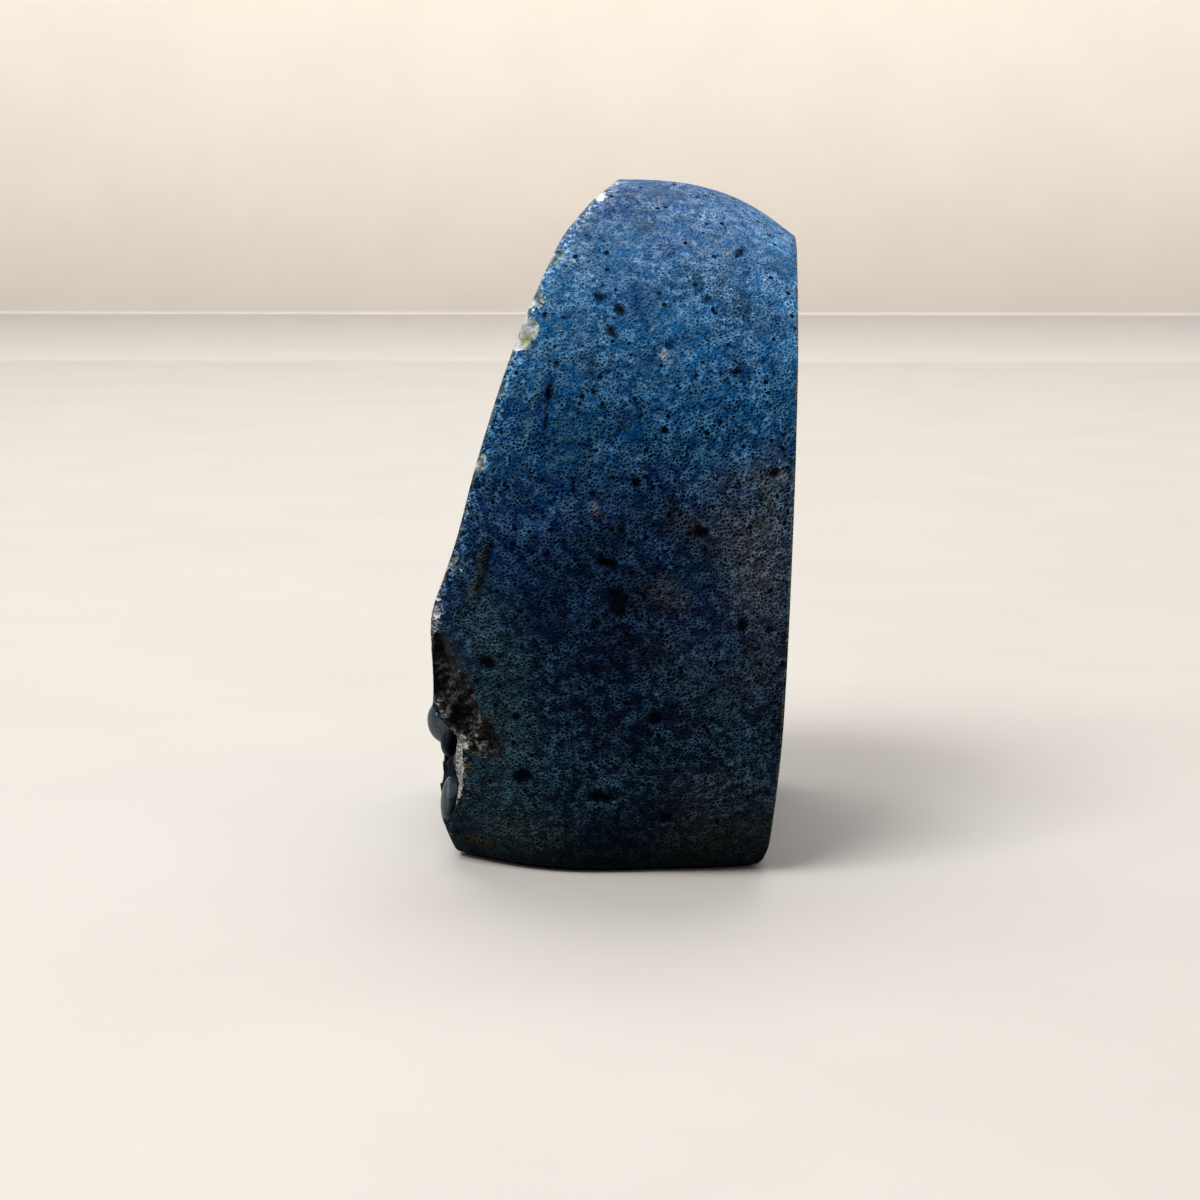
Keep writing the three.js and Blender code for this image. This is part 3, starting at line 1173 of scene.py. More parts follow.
@dataclass(frozen=True)
class StainAndShade:
    """The rind's dyed colours and pale dusting, with painted shade, light and highlight.

    Attributes:
        heights: Heights that the two rows of colours belong to.
        pigment_and_shade_colours: Dyed colour at each height, low down partly painted shade.
        dust_and_highlight_colours: Pale dusting and painted highlight at each height.
        blots: Soft patches of other colours.
        pits: Holes and grooves, painted dark as shade.
        ridges: Pale lines and flecks, one a painted highlight on a ridge's lit lip.
    """

    heights: tuple[float, ...] = (0.0, 14.0, 30.0, 48.0, 65.0, 82.0, 100.0, 118.0)
    # Darker low down partly as painted shade.
    pigment_and_shade_colours: tuple[Colour, ...] = (
        (0.0004, 0.00105, 0.0034),
        (0.00046, 0.00938, 0.0323),
        (0.0004, 0.00494, 0.0259),
        (0.0004, 0.0097, 0.0601),
        (0.00044, 0.032, 0.14),
        (0.000614, 0.0754, 0.238),
        (0.0115, 0.168, 0.454),
        (0.0801, 0.203, 0.457),
    )
    # Darker low down partly as painted shade.
    dust_and_highlight_colours: tuple[Colour, ...] = (
        (0.0111, 0.0275, 0.0527),
        (0.0736, 0.187, 0.314),
        (0.0442, 0.118, 0.216),
        (0.048, 0.129, 0.283),
        (0.0682, 0.183, 0.347),
        (0.0737, 0.245, 0.442),
        (0.189, 0.423, 0.696),
        (0.32, 0.46, 0.676),
    )
    blots: tuple[Mark, ...] = (
        Mark(((3.4, 99.9),), (5.5, 3.5), (0.010, 0.08, 0.32), 0.6),
        Mark(((-11.6, 85.0), (-12.2, 80.0)), (1.6, 3.0), (0.008, 0.05, 0.24), 0.75),
        Mark(((22.0, 98.5),), (2.0, 1.6), (0.015, 0.10, 0.36), 0.7),
        Mark(((28.5, 96.9),), (1.8, 1.8), (0.012, 0.09, 0.32), 0.7),
        Mark(((15.0, 104.0), (24.0, 96.0)), (5.0, 4.0), (0.060, 0.130, 0.200), 0.5),
        Mark(((-6.0, 96.0), (-3.0, 88.0)), (3.0, 3.0), (0.070, 0.150, 0.290), 0.4),
        Mark(((1.2, 49.5), (0.0, 42.0)), (7.5, 7.0), (0.001, 0.005, 0.026), 0.92),
        Mark(((11.0, 63.0), (17.0, 59.0)), (5.0, 4.5), (0.002, 0.007, 0.030), 0.85),
        Mark(((2.0, 63.0), (-6.0, 55.0)), (4.0, 4.0), (0.003, 0.012, 0.055), 0.6),
        Mark(((9.0, 51.2), (10.5, 50.5)), (3.2, 2.8), (0.095, 0.100, 0.105), 0.7),
        Mark(((13.3, 63.1),), (4.0, 3.5), (0.065, 0.060, 0.070), 0.6),
        Mark(((25.0, 66.0), (25.0, 56.0)), (6.5, 7.0), (0.210, 0.230, 0.235), 0.9),
        Mark(((25.0, 50.0), (26.0, 38.0)), (5.0, 6.0), (0.100, 0.130, 0.135), 0.7),
        Mark(
            ((-23.0, 46.0), (-18.0, 34.0), (-20.0, 20.0), (-19.0, 8.0)), (5.5, 5.5),
            (0.070, 0.160, 0.205), 0.8,
        ),
        Mark(((26.0, 12.5), (20.0, 10.5)), (9.0, 7.0), (0.200, 0.240, 0.225), 0.9),
        Mark(((-20.0, 8.0), (-14.0, 7.0)), (6.0, 4.5), (0.095, 0.150, 0.155), 0.8),
        Mark(((12.0, 40.0), (20.0, 30.0)), (7.0, 6.0), (0.055, 0.085, 0.100), 0.45),
    )
    # Painted shade: holes and grooves darkened to near-black, the marks' default colour.
    pits: tuple[Pit, ...] = (
        Pit(((-0.4, 94.8),), (1.0, 0.95)),
        Pit(((-3.3, 100.8), (-2.3, 100.5)), (0.6, 0.5)),
        Pit(((0.6, 98.7), (1.2, 98.4)), (0.7, 0.6)),
        Pit(((21.7, 108.0),), (0.9, 0.75)),
        Pit(((21.0, 88.4),), (0.75, 0.6)),
        Pit(((18.1, 88.2),), (0.4, 0.4)),
        Pit(((4.6, 81.1),), (0.4, 0.4)),
        Pit(((9.3, 81.1),), (0.4, 0.4)),
        Pit(((16.0, 100.4),), (0.45, 0.4)),
        Pit(((-9.8, 89.4),), (0.5, 0.45)),
        Pit(((9.7, 107.6),), (0.45, 0.4)),
        Pit(((27.6, 71.3),), (0.95, 0.75), (0.050, 0.042, 0.012)),
        Pit(((1.2, 50.3), (1.0, 48.2)), (1.5, 1.3)),
        Pit(((15.0, 61.6),), (1.3, 1.0)),
        Pit(((-1.5, 56.5), (0.0, 56.0)), (0.9, 0.7)),
        Pit(((4.0, 70.0),), (0.8, 0.8)),
        Pit(((8.7, 78.7),), (0.65, 0.65)),
        Pit(((22.0, 45.5),), (0.9, 1.2)),
        Pit(((7.2, 29.4),), (1.4, 1.2)),
        Pit(((-16.2, 18.0), (-15.2, 18.2)), (1.4, 1.2)),
        Pit(((-22.0, 38.8), (-21.2, 38.2)), (1.0, 0.8)),
        Pit(((-16.5, 29.0),), (0.7, 0.7)),
        Pit(((-3.0, 15.0), (-1.0, 14.5)), (1.3, 0.8)),
        Pit(((9.0, 11.0),), (1.5, 0.9)),
        Pit(((-10.8, 94.5), (-11.0, 88.0)), (0.22, 0.7), strength=0.5, ragged=1.8),
        Pit(((-10.9, 86.2), (-11.2, 83.6)), (0.50, 0.6), strength=0.95, ragged=0.9),
        Pit(((-11.3, 82.4), (-11.6, 78.5)), (0.24, 0.6), strength=0.8, ragged=1.8),
        Pit(((-11.7, 77.0), (-11.9, 73.0)), (0.20, 0.5), strength=0.6, ragged=2.0),
        # Painted shadow beside the raised ridge on the left.
        Pit(((-21.2, 58.5), (-22.0, 55.5), (-22.9, 51.2)), (0.75, 1.0), strength=0.9, ragged=0.8),
    )
    ridges: tuple[Mark, ...] = (
        Mark(
            ((-12.7, 87.6), (-13.6, 83.0), (-15.0, 77.5)), (0.3, 0.6), (0.13, 0.30, 0.36), 0.9,
            ragged=1.4,
        ),
        Mark(((-13.0, 91.5), (-10.0, 90.0)), (0.6, 0.3), (0.12, 0.28, 0.38), 0.6, ragged=1.2),
        # Painted highlight on the lit lip of that ridge.
        Mark(((-21.9, 58.5), (-22.9, 54.5), (-24.4, 50.5)), (0.6, 0.6), (0.12, 0.14, 0.12), 0.6),
        Mark(((-9.8, 73.9), (-6.9, 73.9)), (0.4, 0.3), (0.08, 0.22, 0.30), 0.8),
        Mark(((-9.0, 77.0), (-2.5, 78.0)), (0.4, 0.3), (0.04, 0.16, 0.26), 0.5, ragged=1.0),
        Mark(((8.4, 91.0),), (0.50, 0.55), (0.90, 0.94, 1.0), 1.0),
        Mark(((8.8, 90.0), (9.9, 89.4)), (0.40, 0.30), (0.24, 0.36, 0.52), 0.8, ragged=0.9),
        Mark(
            ((-28.0, 42.0), (-24.1, 35.6), (-21.9, 30.6), (-19.4, 26.0), (-17.9, 21.2)), (0.5, 0.6),
            (0.075, 0.125, 0.140), 0.7, ragged=0.8,
        ),
        Mark(((19.4, 107.7),), (0.5, 0.4), (0.60, 0.62, 0.60), 0.9),
        Mark(((-3.2, 66.2), (-2.9, 65.0)), (0.6, 0.7), (0.26, 0.24, 0.28), 0.7),
        Mark(((28.8, 70.7),), (0.55, 0.55), (0.42, 0.43, 0.40), 0.9),
        Mark(((28.8, 48.0), (27.8, 46.0)), (0.6, 0.6), (0.16, 0.16, 0.14), 0.5),
        Mark(((-30.4, 51.0), (-31.2, 45.0)), (0.9, 1.6), (0.30, 0.32, 0.29), 0.75, ragged=0.9),
        Mark(((-25.6, 5.0), (-22.6, 4.4)), (1.2, 0.8), (0.26, 0.17, 0.05), 0.6),
        Mark(((-25.2, 19.6),), (0.9, 0.9), (0.26, 0.22, 0.08), 0.7),
    )

    def pigment_and_shade(self, points: Points) -> Points:
        """Gives the rind's dyed colour, with painted shade and painted light.

        Args:
            points: Places in millimetres.

        Returns:
            Linear red, green and blue for each place.
        """
        colour = self.by_height(self.pigment_and_shade_colours, points)
        deep = smoothstep(Noise(9.0, 202, 3).at(points), 0.0, 0.5)[:, None]
        colour *= 1.0 - 0.45 * deep * np.array((1.0, 0.9, 0.5))
        for mark in self.blots:
            mark.lay(colour, points, 0.4)
        colour *= (1.0 + 0.45 * Noise(2.4, 205, 2).at(points))[:, None]
        for mark in (*self.pits, *self.ridges):
            mark.lay(colour, points)
        return colour

    def dust(self, points: Points) -> Points:
        """Gives the colour of the pale dusting and painted highlight on the high places.

        Args:
            points: Places in millimetres.

        Returns:
            Linear red, green and blue for each place.
        """
        colour = self.by_height(self.dust_and_highlight_colours, points)
        uneven = 0.75 * Noise(5.0, 211, 3).at(points) + 0.35 * Noise(1.4, 213).at(points)
        colour *= np.clip(1.0 + uneven, 0.1, None)[:, None]
        for mark in self.blots:
            mark.lay(colour, points, 1.8, 0.6)
        for mark in (*self.pits, *self.ridges):
            mark.lay(colour, points)
        return colour

    def openness(self, points: Points) -> Values:
        """Gives how open the fine pores are.

        Args:
            points: Places in millimetres.

        Returns:
            Shares from 0 to 1.
        """
        smooth = smoothstep(points[:, 2] + 6.0 * Noise(12.0, 207, 2).at(points), 74.0, 112.0)
        return 1.0 - 0.72 * smooth

    def by_height(self, colours: tuple[Colour, ...], points: Points) -> Points:
        """Gives colours by height along a wandering line, with painted light towards the back.

        Args:
            colours: One colour for each of the heights.
            points: Places in millimetres.

        Returns:
            Linear red, green and blue for each place.
        """
        height = points[:, 2] + 5.0 * Noise(14.0, 203, 3).at(points)
        table = np.array(colours)
        # Painted light: the rind is made paler towards the back.
        gain = 1.0 + 0.45 * smoothstep(points[:, 0], 6.0, 26.0)
        parts = [np.interp(height, self.heights, table[:, k]) * gain for k in range(3)]
        return np.stack(parts, axis=1)


@dataclass(frozen=True)
class BreakPaint:
    """The colours inside the broken places, with painted shade and one painted highlight.

    Attributes:
        ground: Colour near the rind.
        deep: Near-black colour further in, painted shade.
        marks: Patches and lines of other colours.
    """

    ground: Colour = (0.044, 0.048, 0.054)
    deep: Colour = (0.003, 0.006, 0.014)
    marks: tuple[Mark, ...] = (
        Mark(
            ((-24.0, 31.5), (-22.4, 26.5), (-23.6, 24.5)), (1.4, 2.4), (0.150, 0.146, 0.136), 0.95,
        ),
        Mark(((-27.5, 38.0), (-26.0, 34.5)), (1.2, 1.4), (0.100, 0.094, 0.086), 0.7),
        Mark(((-29.5, 41.5), (-27.6, 38.4)), (0.5, 0.8), (0.030, 0.045, 0.060), 0.9, ragged=0.8),
        # Painted shade: near-black in the crease below the ridge.
        Mark(
            ((-27.6, 30.5), (-26.2, 27.6), (-25.2, 24.0)), (0.6, 1.0), (0.003, 0.005, 0.010), 0.9,
            ragged=1.0,
        ),
        Mark(((-20.6, 24.6), (-20.2, 22.4)), (1.0, 1.4), (0.040, 0.052, 0.066), 0.8),
        Mark(
            ((-32.0, 42.5), (-32.5, 36.0), (-32.0, 32.0)), (0.45, 1.0), (0.34, 0.33, 0.23), 0.9,
            ragged=0.7,
        ),
        # Painted shade: near-black under the ridge, in the gap.
        Mark(((-32.0, 31.0), (-30.0, 27.4), (-28.2, 24.8)), (1.2, 1.3), (0.004, 0.007, 0.014), 1.0),
        # Painted highlight along the lit edge of the ridge.
        Mark(
            ((-31.0, 31.4), (-29.7, 29.0), (-27.3, 25.6), (-25.5, 23.2)), (0.3, 0.35),
            (0.24, 0.25, 0.25), 0.9,
        ),
        Mark(
            ((-26.5, 24.0), (-26.5, 18.0), (-27.0, 12.5)), (1.0, 0.9), (0.78, 0.79, 0.78), 1.0,
            ragged=0.4,
        ),
        # Painted shade: near-black down the slit of the gap.
        Mark(((-28.6, 24.0), (-28.6, 9.0)), (0.7, 1.2), (0.002, 0.004, 0.008), 1.0),
        Mark(((-25.2, 22.8), (-25.0, 21.0)), (0.5, 0.8), (0.30, 0.24, 0.08), 0.9),
    )

    def at(self, points: Points, depth: Values) -> Points:
        """Gives the colour at some places.

        Args:
            points: Places in millimetres.
            depth: How deep each place lies under the rind.

        Returns:
            Linear red, green and blue for each place.
        """
        colour = np.tile(np.array(self.ground), (len(points), 1))
        share = smoothstep(depth, 4.0, 7.0)[:, None]
        colour += (np.array(self.deep) - colour) * share
        for mark in self.marks:
            mark.lay(colour, points)
        return colour


@dataclass(frozen=True)
class Knob:
    """A round knob of agate at the mouth of the hollow.

    Attributes:
        centre: Its middle.
        size: Its half sizes.
        zone: Its kind of surface.
    """

    centre: tuple[float, float, float]
    size: tuple[float, float, float]
    zone: Zone = Zone.KNOB

    def shell(self, ball: Ball, grow: float = 0.0) -> Shell:
        """Makes the knob's form.

        Args:
            ball: Ball that is stretched.
            grow: How much larger each half size is.

        Returns:
            The closed form.
        """
        lumps = 1.0 - 0.05 * (1.0 + Noise(0.8, 61).at(ball.points))
        points = ball.points * (np.array(self.size) * lumps[:, None] + grow)
        return Shell(points + np.array(self.centre), ball.faces, self.zone)


@dataclass
class AgateStone:
    """The whole stone: rind, polished side, saw cuts, hollow, breaks and chips.

    Attributes:
        nodule: Form of the rind.
        cuts: Polished side, back and base.
        hollow: Form of the hollow.
        stain: Colours, pits and ridges of the rind, with its painted shade and highlight.
        paint: Colours of the broken places.
        knobs: The knobs at the mouth of the hollow.
        pale_marks: Where the stone is worn or broken pale.
        frequency: Fineness of the rind.
        wall_frequency: Fineness of the hollow's wall.
        sharp_over: Angle in degrees above which an edge stays sharp.
        bias: How far the rind lies inside the drawn form.
        swells: Its slow lumps.
        bumps: Its finer lumps.
        holes: Its scattered pits.
        pores: Its scattered pores.
        rims: How small chips are scattered along the two rims.
        large_flakes: Height, half sizes and turn of each large chip on the near rim.
    """

    nodule: Nodule
    cuts: SawCuts
    hollow: Hollow
    stain: StainAndShade = StainAndShade()
    paint: BreakPaint = BreakPaint()
    knobs: tuple[Knob, ...] = (
        Knob((-30.28, 1.0, 19.7), (6.0, 5.2, 5.4)),
        Knob((-29.45, -28.0, 10.35), (1.75, 4.5, 4.8)),
        # Dark lump in the gap, near-black from the painted shade at the hollow's lower end.
        Knob((-30.0, -22.0, 20.4), (1.6, 4.5, 3.0), Zone.HOLLOW),
    )
    pale_marks: tuple[Mark, ...] = (
        Mark(((-17.0, 99.5), (-19.5, 91.5)), (2.4, 2.4), strength=1.0),
        Mark(((-12.0, 107.5), (-14.5, 103.0)), (1.1, 1.5), strength=0.6),
        Mark(
            ((0.5, 119.5), (-5.5, 114.0), (-10.0, 109.0)), (1.2, 1.2), strength=0.35,
            seen_to=(10.0, 25.0),
        ),
        Mark(((-31.6, 43.0), (-32.2, 36.0), (-31.6, 31.5)), (0.6, 1.2), strength=0.8),
        Mark(((-30.6, 51.0), (-31.4, 45.0)), (1.2, 2.2), strength=0.8),
        Mark(((-26.6, 24.2), (-26.4, 18.0), (-26.9, 12.4)), (1.1, 1.0), strength=1.0),
    )
    frequency: int = 132
    wall_frequency: int = 26
    sharp_over: float = 38.0
    bias: float = 0.16
    swells: Noise = Noise(13.0, 3, 2)
    bumps: Noise = Noise(3.4, 11, 2)
    holes: Craters = Craters(6.0, 0.26, 0.6, 1.25, 5)
    pores: Craters = Craters(2.4, 0.45, 0.30, 0.65, 23)
    rims: tuple[RimChips, RimChips] = (
        RimChips(False, 0.035, 0.085, 1.0, 12),
        RimChips(True, 0.07, 0.30, 0.7, 13),
    )
    large_flakes: tuple[tuple[float, tuple[float, float, float], float], ...] = (
        (118.0, (1.8, 7.0, 1.3), 0.3),
        (108.0, (3.0, 3.8, 2.4), 0.5),
        (101.0, (2.0, 3.0, 2.6), 0.3),
        (96.5, (4.0, 4.2, 4.8), 0.8),
        (86.0, (1.3, 1.8, 2.4), 0.9),
        (74.0, (1.8, 2.8, 3.0), 1.1),
        (65.0, (1.2, 1.8, 2.2), 1.0),
        (56.0, (2.2, 3.0, 3.4), 1.4),
        (49.5, (1.2, 1.6, 1.6), 0.6),
        (46.5, (0.9, 1.8, 1.2), 1.7),
    )

    def breaks(self) -> tuple[SideBreak, SideBreak, SideBreak]:
        """Gives the broken places at the side.

        Returns:
            The scar, the pale ledge below it and the gap.
        """
        scar = (
            (-32.2, 41.0), (-31.0, 43.6), (-29.4, 43.6), (-27.9, 41.2), (-24.8, 35.6),
            (-22.6, 30.6), (-20.1, 26.0), (-18.4, 20.8), (-21.5, 21.4), (-24.9, 21.8),
            (-27.2, 24.6), (-29.1, 27.0), (-31.6, 31.2), (-31.8, 35.0),
        )
        gap = (
            (-40.0, 32.2), (-32.2, 31.4), (-30.6, 29.2), (-28.9, 27.2), (-27.2, 25.2),
            (-26.8, 23.0), (-26.9, 20.9), (-27.6, 19.8), (-27.1, 18.1), (-26.9, 15.7),
            (-27.2, 12.5), (-28.0, 9.5), (-30.0, 7.5), (-40.0, 7.0),
        )
        ledge = (
            (-28.4, 26.2), (-27.0, 26.0), (-25.9, 23.8), (-25.8, 20.0), (-26.0, 16.5),
            (-26.6, 12.4), (-28.0, 11.6), (-28.6, 18.0),
        )
        return (
            SideBreak(self.nodule, scar, ((0.0, 0.8), (0.7, 2.6), (2.4, 4.6)), 2.4, 41, 0.5),
            SideBreak(self.nodule, ledge, ((0.0, 0.3), (0.8, 1.3), (3.0, 1.9)), 0.5, 53, 0.4),
            SideBreak(
                self.nodule, gap, ((0.0, 0.3), (0.4, 2.2), (0.9, 15.6)), 0.8, 77, 0.3, (19.8, 13.0)
            ),
        )

    def build(self) -> bpy.types.Object:
        """Builds the stone.

        Returns:
            The dressed object, in the frame.
        """
        body = self.make_rind()
        carve(body, self.cuts.block(), Carving.KEEP_COMMON)
        ball = geodesic(self.wall_frequency)
        carve(body, Shell(self.hollow.surface(ball.points), ball.faces, Zone.HOLLOW))
        for broken in self.breaks():
            carve(body, broken.shell())
        ball = geodesic(KNOB_FREQUENCY)
        for knob in self.knobs:
            carve(body, knob.shell(ball), Carving.JOIN)
        self.carve_flakes(body)
        self.write_attributes(body)
        stand_in_frame(body, self.sharp_over)
        body.name = body.data.name = "agate_body"
        return body

    def rind_dent(self, points: Points) -> Values:
        """Gives how far the rind lies inside the drawn form.

        Args:
            points: Places on the drawn form.

        Returns:
            Depth in millimetres, above 0 everywhere.
        """
        lumps = 0.22 + 0.2 * self.swells.at(points)
        bumps = 0.1 + 0.1 * self.bumps.at(points)
        holes = 0.9 * self.holes.at(points)
        pores = 0.9 * self.pores.at(points)
        pits = 0.9 * total_of(self.stain.pits, points)
        ridges = 0.12 * total_of(self.stain.ridges, points)
        return self.bias + lumps + bumps + holes + pores + pits - ridges

    def make_rind(self) -> bpy.types.Object:
        """Makes the uncut nodule with its lumps and pits.

        Returns:
            The object, in millimetres.
        """
        ball = geodesic(self.frequency)
        surface = self.nodule.surface(ball.points)
        body = Shell(surface, ball.faces, Zone.RIND).to_object("rind_form")
        place_corners(body, surface - normals_of(body) * self.rind_dent(surface)[:, None])
        return body

    def scatter_flakes(self, rim: RimChips) -> list[Flake]:
        """Scatters small chips along a rim, each clear of the next.

        Args:
            rim: How they are scattered.

        Returns:
            The chips.
        """
        draw = np.random.default_rng(rim.seed)
        angles = rim.angles(draw)
        flakes, last = [], np.full(3, 999.0)
        for number, place in enumerate(self.cuts.rim_points(angles, rim.rear)):
            big = (rim.smallest + rim.span * draw.random() ** rim.rarity) * rim.scale
            size = big * draw.uniform(0.7, 1.3, 3) * np.array((0.8, 0.8, 1.5))
            apart = np.linalg.norm(place - last)
            if place[2] < rim.lowest or apart < rim.wide * big + rim.clear:
                continue
            away = np.array((1.0 if rim.rear else -1.0, np.sign(place[1]), 0.0)) * big * 0.3
            turn = tuple(draw.uniform(-0.6, 0.6, 3))
            flakes.append(Flake(tuple(place + away), tuple(size), turn, 100 + number))
            last = place
        return flakes

    def carve_flakes(self, body: bpy.types.Object) -> None:
        """Cuts all the chips along the rims.

        Args:
            body: The stone.
        """
        ball = geodesic(3)
        for rim in self.rims:
            group = self.scatter_flakes(rim)
            points = [flake.corners(ball.points) for flake in group]
            faces = [ball.faces + number * len(ball.points) for number in range(len(group))]
            carve(body, Shell(np.concatenate(points), np.concatenate(faces), Zone.CHIPPED))
        ball = geodesic(5)
        for number, (height, size, turn) in enumerate(self.large_flakes):
            place = self.cuts.near_rim(height) + np.array((-0.3, -0.6, 0.0)) * size[0]
            flake = Flake(tuple(place), size, (0.1, -0.2, turn), 40 + number, 0.22)
            carve(body, Shell(flake.corners(ball.points), ball.faces, Zone.CHIPPED))

    def write_attributes(self, body: bpy.types.Object) -> None:
        """Stores the distances, stains and painted light and shade that the materials use.

        Args:
            body: The cut stone, in millimetres.
        """
        points = corners_of(body)
        front = points[:, 0] - self.cuts.front_x(points[:, 1], points[:, 2])
        rear = self.cuts.back_x(points[:, 2]) - points[:, 0]
        depth = self.nodule.depth(points)
        write_values(body, "rind_depth", depth)
        write_colours(body, "paint", self.paint.at(points, depth))
        write_values(body, "front_distance", front)
        write_values(body, "rear_distance", rear)
        write_values(body, "hollow_distance", self.hollow.distance(points))
        write_values(body, "pale", total_of(self.pale_marks, points))
        # Painted shade at the lower end of the hollow.
        write_values(body, "dye", painted_hollow_shade(points))
        write_values(body, "open", self.stain.openness(points))
        write_colours(body, "stain", self.stain.pigment_and_shade(points))
        write_colours(body, "dust", self.stain.dust(points))


@dataclass
class CrystalCrust:
    """The quartz crystals on the wall of the hollow, in one closed form.

    Attributes:
        hollow: Form of the hollow.
        cuts: The polished side, which trims the crust.
        gap: The broken place that trims it at the side.
        knobs: The knobs that it leaves room for.
        frequency: Fineness of the net of crystals, a multiple of 3.
        wall_frequency: Fineness of its back.
        gap_to_wall: Distance between its back and the wall.
        thickness: Its least thickness.
        height: Height of its tallest points.
        behind_polish: How far it stays behind the polished side.
        trim: How far past the broken place it is trimmed.
        knob_room: Room that it leaves round the knobs.
        sharp_over: Angle in degrees above which an edge stays sharp.
    """

    hollow: Hollow
    cuts: SawCuts
    gap: SideBreak
    knobs: tuple[Knob, ...]
    frequency: int = 27
    gap_to_wall: float = 0.55
    thickness: float = 1.9
    height: float = 2.6
    behind_polish: float = 0.5
    wall_frequency: int = 20
    trim: float = 5.0
    knob_room: float = 0.4
    sharp_over: float = 12.0

    def build(self) -> bpy.types.Object:
        """Builds the crust.

        Returns:
            The object, in the frame.
        """
        ball = geodesic(self.wall_frequency)
        wall = self.hollow.surface(ball.points, self.gap_to_wall)
        body = Shell(wall, ball.faces).to_object("crust_form")
        carve(body, self.points_shell())
        carve(body, self.cuts.block(self.behind_polish), Carving.KEEP_COMMON)
        falls = tuple((inside, depth + self.trim) for inside, depth in self.gap.falls)
        carve(body, replace(self.gap, falls=falls).shell())
        ball = geodesic(KNOB_FREQUENCY)
        for knob in self.knobs:
            carve(body, knob.shell(ball, self.knob_room))
        zones = np.zeros(len(body.data.polygons), np.int32)
        body.data.polygons.foreach_set("material_index", zones)
        # Painted shade at the lower end of the hollow, read by the quartz finish.
        write_values(body, "dye", painted_hollow_shade(corners_of(body)))
        stand_in_frame(body, self.sharp_over)
        body.name = body.data.name = "crystals"
        return body

    def points_shell(self) -> Shell:
        """Makes the inside of the hollow as a ball covered in six-sided points.

        Returns:
            The closed form.
        """
        ball = geodesic(self.frequency)
        count = len(ball.points)
        draw = np.random.default_rng(31)
        patch = 0.75 + 0.45 * Noise(0.35, 301, 2).at(ball.points)
        tall = self.height * (0.35 + 0.85 * draw.random(count)) * patch
        rise = np.where(ball.tips, tall, 0.35 * draw.random(count))
        spread = np.where(ball.tips, 0.028, 0.016)[:, None]
        aim = unit(ball.points + spread * (draw.random((count, 3)) - 0.5) * 2.0)
        inside = self.hollow.surface(aim, self.gap_to_wall + self.thickness + rise)
        return Shell(inside, ball.faces)


class Sock:
    """A value in a node tree that Python expressions can use."""

    def __init__(self, tree: "Tree", socket: bpy.types.NodeSocket) -> None:
        """Keeps the tree and the output socket."""
        self.tree = tree
        self.socket = socket

    def __add__(self, other: "Sock | float") -> "Sock":
        """Adds."""
        return self.tree.maths("ADD", self, other)

    __radd__ = __add__

    def __sub__(self, other: "Sock | float") -> "Sock":
        """Subtracts."""
        return self.tree.maths("SUBTRACT", self, other)

    def __rsub__(self, other: "Sock | float") -> "Sock":
        """Subtracts from."""
        return self.tree.maths("SUBTRACT", other, self)

    def __mul__(self, other: "Sock | float") -> "Sock":
        """Multiplies."""
        return self.tree.maths("MULTIPLY", self, other)

    __rmul__ = __mul__

    def __truediv__(self, other: "Sock | float") -> "Sock":
        """Divides."""
        return self.tree.maths("DIVIDE", self, other)

    def __rtruediv__(self, other: "Sock | float") -> "Sock":
        """Divides into."""
        return self.tree.maths("DIVIDE", other, self)

    def step(self, low: float, high: float) -> "Sock":
        """Rises smoothly from 0 to 1.

        Args:
            low: Value where the rise starts.
            high: Value where it ends.

        Returns:
            The share.
        """
        settings = {"interpolation_type": "SMOOTHSTEP"}
        inputs = {"Value": self, "From Min": low, "From Max": high}
        return self.tree.node("ShaderNodeMapRange", settings, inputs)


